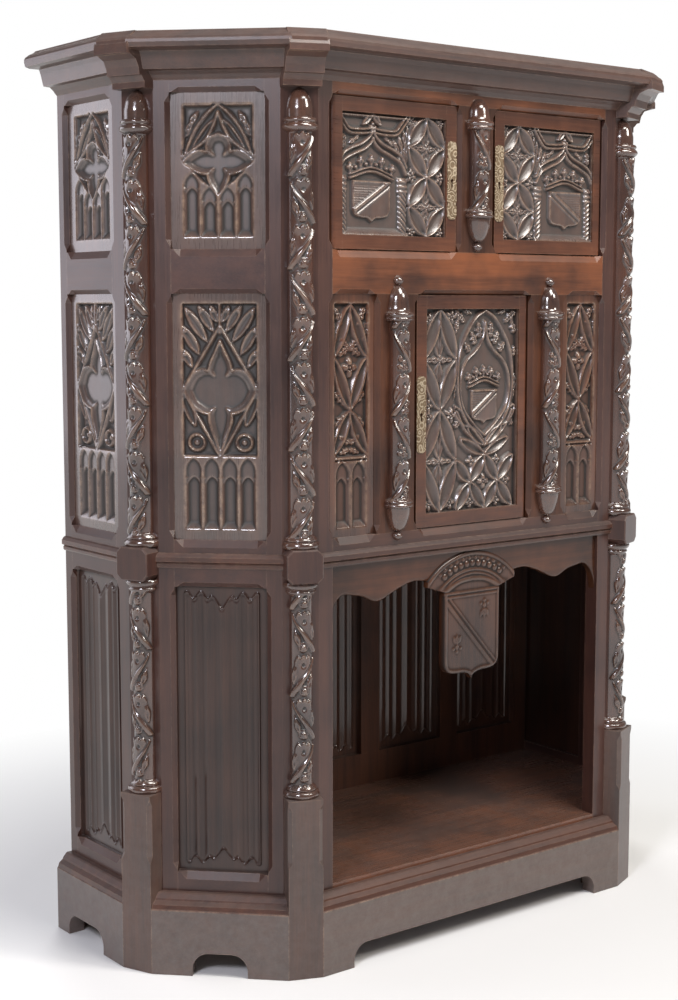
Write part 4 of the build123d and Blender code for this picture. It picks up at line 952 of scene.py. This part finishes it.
def beads(*rows):
    # stations of round mouldings, each from one height to another
    t = np.linspace(0, 1, 9)
    return [
        (radius + bulge * np.sin(np.pi * share), low + (high - low) * share)
        for radius, low, high, bulge in rows for share in t
    ]


def plainShaft(radius, low, high):
    # stations of a shaft, evenly spaced
    return [(radius, level) for level in np.linspace(low, high, int((high - low) / shafts["pitch"]) + 1)]


def ball(radius, low, high):
    # stations of a ball that stops just short of a point at both ends
    t = np.linspace(0.1, 0.9, 12)
    return [(radius * np.sin(np.pi * share), low + (high - low) * (share - 0.1) / 0.8) for share in t]


def profile(shares, radii, scale, low, high, count):
    # stations of a turned form, from its radii at shares of its height
    t = np.linspace(0, 1, count)
    return list(zip(np.interp(t, shares, radii) * scale, low + (high - low) * t))


def halfTurned(shell, place, stations, carved, radius, start, middle=0, mirrored=False, berries=False):
    # half round piece: a half circle at each station, with a vine between the carved heights
    radii, levels = np.array(stations).T
    angle = np.linspace(0, np.pi, int(np.pi * radius / shafts["pitch"]) + 1)
    theta, up = np.meshgrid(angle, levels)
    around = np.meshgrid(angle, radii)[1]
    low, high = carved
    shaft = (levels >= low) & (levels <= high)
    turned = theta[shaft] - np.pi / 2
    fade = unit(np.minimum(up[shaft] - low, high - up[shaft]) / 3)
    edge = unit((np.pi / 2 - np.abs(turned)) / 0.12)
    cut = soften(vine(turned * radius, up[shaft], radius, start, berries) * edge, 1)
    around[shaft] += (cut - shafts["sink"]) * fade
    worn = np.full(theta.shape, 0.2)
    worn[shaft] = wornFrom(cut)
    index = numbered(theta)
    back = quads(index[:-1, -1], index[:-1, 0], index[1:, 0], index[1:, -1])
    faces = [gridQuads(index), back, [index[0, ::-1].tolist(), index[-1].tolist()]]
    shell.add(place, middle - around * np.cos(theta), -around * np.sin(theta), up, worn, faces, mirrored)


def columnPiece(name, place, mirrored):
    # corner column: lower shaft with its base and neck, upper shaft with base, double ring and acorn
    shell = Shell()
    ring = shafts["ring"]
    lower = shafts["lowerRadius"]
    upper = shafts["upperRadius"]
    carved = shafts["lowerCarved"]
    stations = beads((ring, 325, 336, 2), (lower + 1.5, 337.5, 343, 1)) + plainShaft(lower, *carved)
    stations += beads((lower + 1, 689.5, 695, 1.5)) + [(ring - 3.5, 697.5)] + beads((ring - 1.5, 699, 709, 2))
    halfTurned(shell, place, stations, carved, lower, 352, 0, mirrored)
    carved = shafts["upperCarved"]
    stations = beads((ring, 768, 779, 2), (upper + 1, 780.5, 786, 1.4)) + plainShaft(upper, *carved)
    stations += beads((ring - 2, 1481, 1491, 2.6)) + [(ring - 3.6, 1492)] + beads((ring - 4, 1493, 1501, 2.2))
    stations += profile([0, 0.3, 0.62, 0.84, 0.95, 1], [23.2, 23.2, 19.8, 13.6, 8, 2], 1, 1502, 1552, 18)
    halfTurned(shell, place, stations, carved, upper, 782, 0, mirrored)
    shell.finish(name, "carcass", [name], "turning", "oak_turned")


smallShafts = {  # foot, head, height of the acorn, height of the knob over it
    "colonnette_upper": {"middle": 0, "low": 1285, "high": 1560, "nut": 40, "knob": 0},
    "colonnette_left": {"middle": -188.5, "low": 765, "high": 1240, "nut": 47, "knob": 18},
    "colonnette_right": {"middle": 188.5, "low": 765, "high": 1240, "nut": 47, "knob": 18},
}


def colonnettePiece(name, middle, low, high, nut, knob):
    # short half column on a muntin: drop, cup, ring, carved shaft, ring, bell-shaped acorn and its knob
    shell = Shell()
    ring = shafts["smallRing"]
    radius = shafts["smallRadius"]
    cup = low + 17.5
    foot = cup + 43
    nutTop = high - knob
    neck = nutTop - nut - 15
    carved = (foot + 16, neck - 1)
    stations = ball(10.5, low, cup - 0.5)
    for share in np.linspace(0, 1, 12):
        stations.append((ring * (0.3 + 0.55 * np.sin(np.pi / 2 * share) ** 0.6), cup + 43 * share))
    stations += beads((ring - 1, foot + 0.5, foot + 7.5, 2), (ring - 1.5, foot + 8.5, foot + 14, 1.6))
    stations += plainShaft(radius, *carved)
    stations += beads((ring - 1.5, neck, neck + 6, 1.6), (ring - 1, neck + 7, neck + 14.5, 2))
    bell = [0, 0.12, 0.35, 0.6, 0.85, 1], [0.86, 0.76, 0.72, 0.66, 0.48, 0.26]
    stations += profile(*bell, ring, neck + 15.5, nutTop - 0.5, 12)
    if knob:
        stations += ball(10.5, nutTop, high)
    halfTurned(shell, "front", stations, carved, radius, foot + 10, middle, berries=True)
    shell.finish(name, "carcass", [name], "turning", "oak_turned")


for corner in ("front", "side"):
    for side in ("left", "right"):
        columnPiece(f"column_{corner}_{side}", corner + "Corner", side == "right")
for name, values in smallShafts.items():
    colonnettePiece(name, **values)


# apron and hanging shield

apronSizes = {
    "reach": 335.05,
    "peak": 300,  # where the outer arch turns down to the post
    "peakLevel": 675,
    "endLevel": 620,
    "top": 742,
    "face": 7,
    "back": 23,
    "bevelHigh": 8,
    "bevelDeep": 4,
    "scallops": [(0, 655), (60, 668), (131, 683), (175, 674), (224, 655), (262, 668), (300, 675)],
}


def makeApron():
    # A closed section carried along the apron: face, rounded lower edge, underside and back. The lower
    # edge follows the scallops, and a quarter ellipse down to each post.
    size = apronSizes
    peak, face, deep = size["peak"], size["face"], size["bevelDeep"]
    turn = np.linspace(0, np.pi / 2, 14)
    line = curve(size["scallops"], 10)
    middle = np.linspace(0, peak, 101)[:-1]
    half = np.append(middle, peak + (size["reach"] - peak) * np.sin(turn))
    drop = size["endLevel"] + (size["peakLevel"] - size["endLevel"]) * np.cos(turn)
    lowHalf = np.append(np.interp(middle, line[:, 0], line[:, 1]), drop)
    x = np.append(-half[:0:-1], half)
    low = np.append(lowHalf[:0:-1], lowHalf)
    top = size["top"] + 0 * low
    bevel = np.linspace(0.2, 1, 5) * np.pi / 2
    heights = [top, low, low] + [low + size["bevelHigh"] * (1 - np.cos(angle)) for angle in bevel]
    heights += [low * 0.6 + top * 0.4, top]
    depths = [size["back"], size["back"], face + deep] + [face + deep * (1 - np.sin(angle)) for angle in bevel]
    along, depth = np.meshgrid(x, depths + [face, face])
    up = np.stack(heights)
    index = numbered(up)
    closing = quads(index[-1, :-1], index[-1, 1:], index[0, 1:], index[0, :-1])
    caps = [index[:, 0].tolist(), index[::-1, -1].tolist()]
    worn = np.zeros(up.shape)
    worn[2:6] = 0.7  # rubbed along the lower edge
    shell = Shell()
    shell.add("front", along, depth, up, worn, [gridQuads(index), closing, caps])
    shell.finish("apronBoard", "carcass", ["apron"], "apron", "oak_frame")


hanging = {
    "face": 3,
    "back": 17,
    "proud": 0.5,  # share of the carved height that stands ahead of the face
    "half": 70,
    "shoulder": 655,
    "tip": 483,
    "crownHalf": 110,
    "crownTop": 728,
    "crownEnd": 680,
    "crownFoot": 668,
    "corner": [(0, 483), (5, 491), (20, 496.5), (45, 498), (60, 502), (68.5, 513), (70, 530)],
    "pearls": ((23, 0.5, 5.8, 5.2), (13, 0, 3.4, 3.4)),  # below the top, shift, radius, height of each row
}
crownRise = hanging["crownTop"] - hanging["crownEnd"]
crownRadius = (hanging["crownHalf"] ** 2 + crownRise**2) / (2 * crownRise)
crownCentre = hanging["crownTop"] - crownRadius


def hangingHalf(z):
    # half width at each height: point, rounded corners, straight sides, flared crown and its arc
    size = hanging
    arc = np.sqrt(np.clip(crownRadius**2 - (z - crownCentre) ** 2, 0, None))
    flare = np.interp(z, [size["shoulder"], size["crownFoot"]], [size["half"], size["crownHalf"]])
    lower = curve(size["corner"])
    body = np.interp(z, lower[:, 1], lower[:, 0])
    return np.where(z > size["shoulder"], np.where(z > size["crownEnd"], arc, flare), body)


def hangingField(x, z):
    # height of the arms over the plain face: rim, bend of two bars, ermine spots, crown bands and pearls
    side = np.abs(x)
    rim = np.vstack([curve(hanging["corner"], 6), [(70, 646)]])
    off = fromLine(x, z, (-62, 640), (58, 506))[1]
    held = (z < 642) & (z > 503) & (side < 64)
    height = joined(
        roll(distance(side, z, rim) - 4.5, 3.2, 2.4),
        roll(z - 644, 2.2, 2.2) * (side < 70), roll(z - 651.5, 2.6, 2.8) * (side < 72),
        held * 2.2 * unit(4.2 - np.abs(off - 5)), held * 1.8 * unit(2.2 - np.abs(off + 5.5)),
    )
    for cx, cz, flip in ((31, 612, 1), (-38, 558, -1)):
        up = (z - cz) * flip
        root = (cx, 4)
        tails = [((cx, 16), (cx, 2), 7), (root, (cx - 11, -13), 8), (root, (cx + 11, -13), 8), (root, (cx, -17), 7)]
        dots = [((cx, 19), 3.4, 2.8), ((cx - 9, 13), 3.2, 2.6), ((cx + 9, 13), 3.2, 2.6)]
        height = joined(height, several(leaf, x, up, tails, 3, 1), several(berry, x, up, dots, False))
    reach = np.hypot(x, z - crownCentre)
    over = z > hanging["shoulder"]
    fold = curve([(0, 676), (30, 673), (52, 665), (72, 652)])
    bands = joined(
        roll(crownRadius - 4.5 - reach, 3.6, 3), roll(crownRadius - 35 - reach, 2.8, 3),
        roll(crownRadius - 42 - reach, 2.4, 2.4), roll(distance(side, z, fold), 4.4, 3.8),
    )
    hollow = unit((z - 657) / 3) * unit(1 - (side / 58) ** 2 - (z - 655) / 20)
    height = np.where(over, np.maximum(height, bands) - 3.5 * hollow, height)
    angle = np.arctan2(x, z - crownCentre)
    pitch = np.radians(6.6)
    over = over & (np.abs(angle) < np.radians(36.5))
    for inset, shift, radius, high in hanging["pearls"]:
        row = crownRadius - inset
        local = np.mod(angle + pitch * shift, pitch) - pitch / 2
        pearls = roll(np.hypot(local * row, reach - row), radius, high)
        height = np.where(over, np.maximum(height, pearls), height)
    return height


def makeHangingShield():
    # rows of points stretched to the outline at each height, closed at the point and at the crown's top
    size = hanging
    turn = np.linspace(0, np.pi / 2, 16)
    levels = np.concatenate([
        size["tip"] + 0.05 + (1 - np.cos(turn)) * 15,
        np.linspace(499, 716, 168),
        size["crownTop"] - 0.05 - (1 - np.sin(turn)) * 11,
    ])
    share, z = np.meshgrid(np.linspace(-1, 1, 131), levels)
    half = hangingHalf(z)
    x = share * half
    height = soften(hangingField(x, z), 1)
    dome = np.sqrt(unit((1 - np.abs(share)) * half / 2.5))
    depth = size["face"] + 1.5 * (1 - dome) - height * size["proud"] * dome
    shell = Shell()
    boardShell(shell, "front", x, depth, z, size["back"], wornFrom(height, 0.9))
    shell.finish("hangingShield", "carcass", ["apron_shield"], "shield", "oak_turned")


makeApron()
makeHangingShield()


# floor and world

def makeFloor():
    # one large pale square, fading to white away from the cupboard
    reach, low = studio["floorReach"], -studio["floorDrop"]
    corners = [(-reach, -reach, low), (reach, -reach, low), (reach, reach, low), (-reach, reach, low)]
    mesh = bpy.data.meshes.new("floor")
    mesh.from_pydata(corners, [], [(0, 1, 2, 3)])
    finish = Finish("paleFloor")
    place = finish.node("ShaderNodeTexCoord", output=3)
    away = finish.node("ShaderNodeVectorMath", {0: place}, 1, operation="LENGTH")
    far = ((away - 0.8) * 1.2).clamped()
    finish.shader.inputs["Base Color"].default_value = studio["floorColour"]
    finish.feed(finish.shader.inputs["Roughness"], finish.noise(place, 30) * 0.1 + 0.62)
    glow = finish.node("ShaderNodeEmission", {"Color": studio["white"], "Strength": 1})
    pale = Value(finish, finish.shader.outputs[0])
    surface = finish.node("ShaderNodeMixShader", {0: far, 1: pale, 2: glow})
    finish.feed(finish.tree.nodes["Material Output"].inputs["Surface"], surface)
    mesh.materials.append(finish.material)
    floor = newObject("floor", mesh)


def makeWorld():
    # even pale light, plain white where the camera sees past the floor
    world = bpy.data.worlds.new("studioWorld")
    bpy.context.scene.world = world
    world.use_nodes = True
    tree = world.node_tree
    light = tree.nodes["Background"]
    white = tree.nodes.new("ShaderNodeBackground")
    for shader, strength in ((light, studio["worldStrength"]), (white, 1)):
        shader.inputs["Color"].default_value = studio["white"]
        shader.inputs["Strength"].default_value = strength
    rays = tree.nodes.new("ShaderNodeLightPath")
    choose = tree.nodes.new("ShaderNodeMixShader")
    tree.links.new(rays.outputs["Is Camera Ray"], choose.inputs[0])
    tree.links.new(light.outputs[0], choose.inputs[1])
    tree.links.new(white.outputs[0], choose.inputs[2])
    tree.links.new(choose.outputs[0], tree.nodes["World Output"].inputs["Surface"])


makeFloor()
makeWorld()
print("floor and world made")
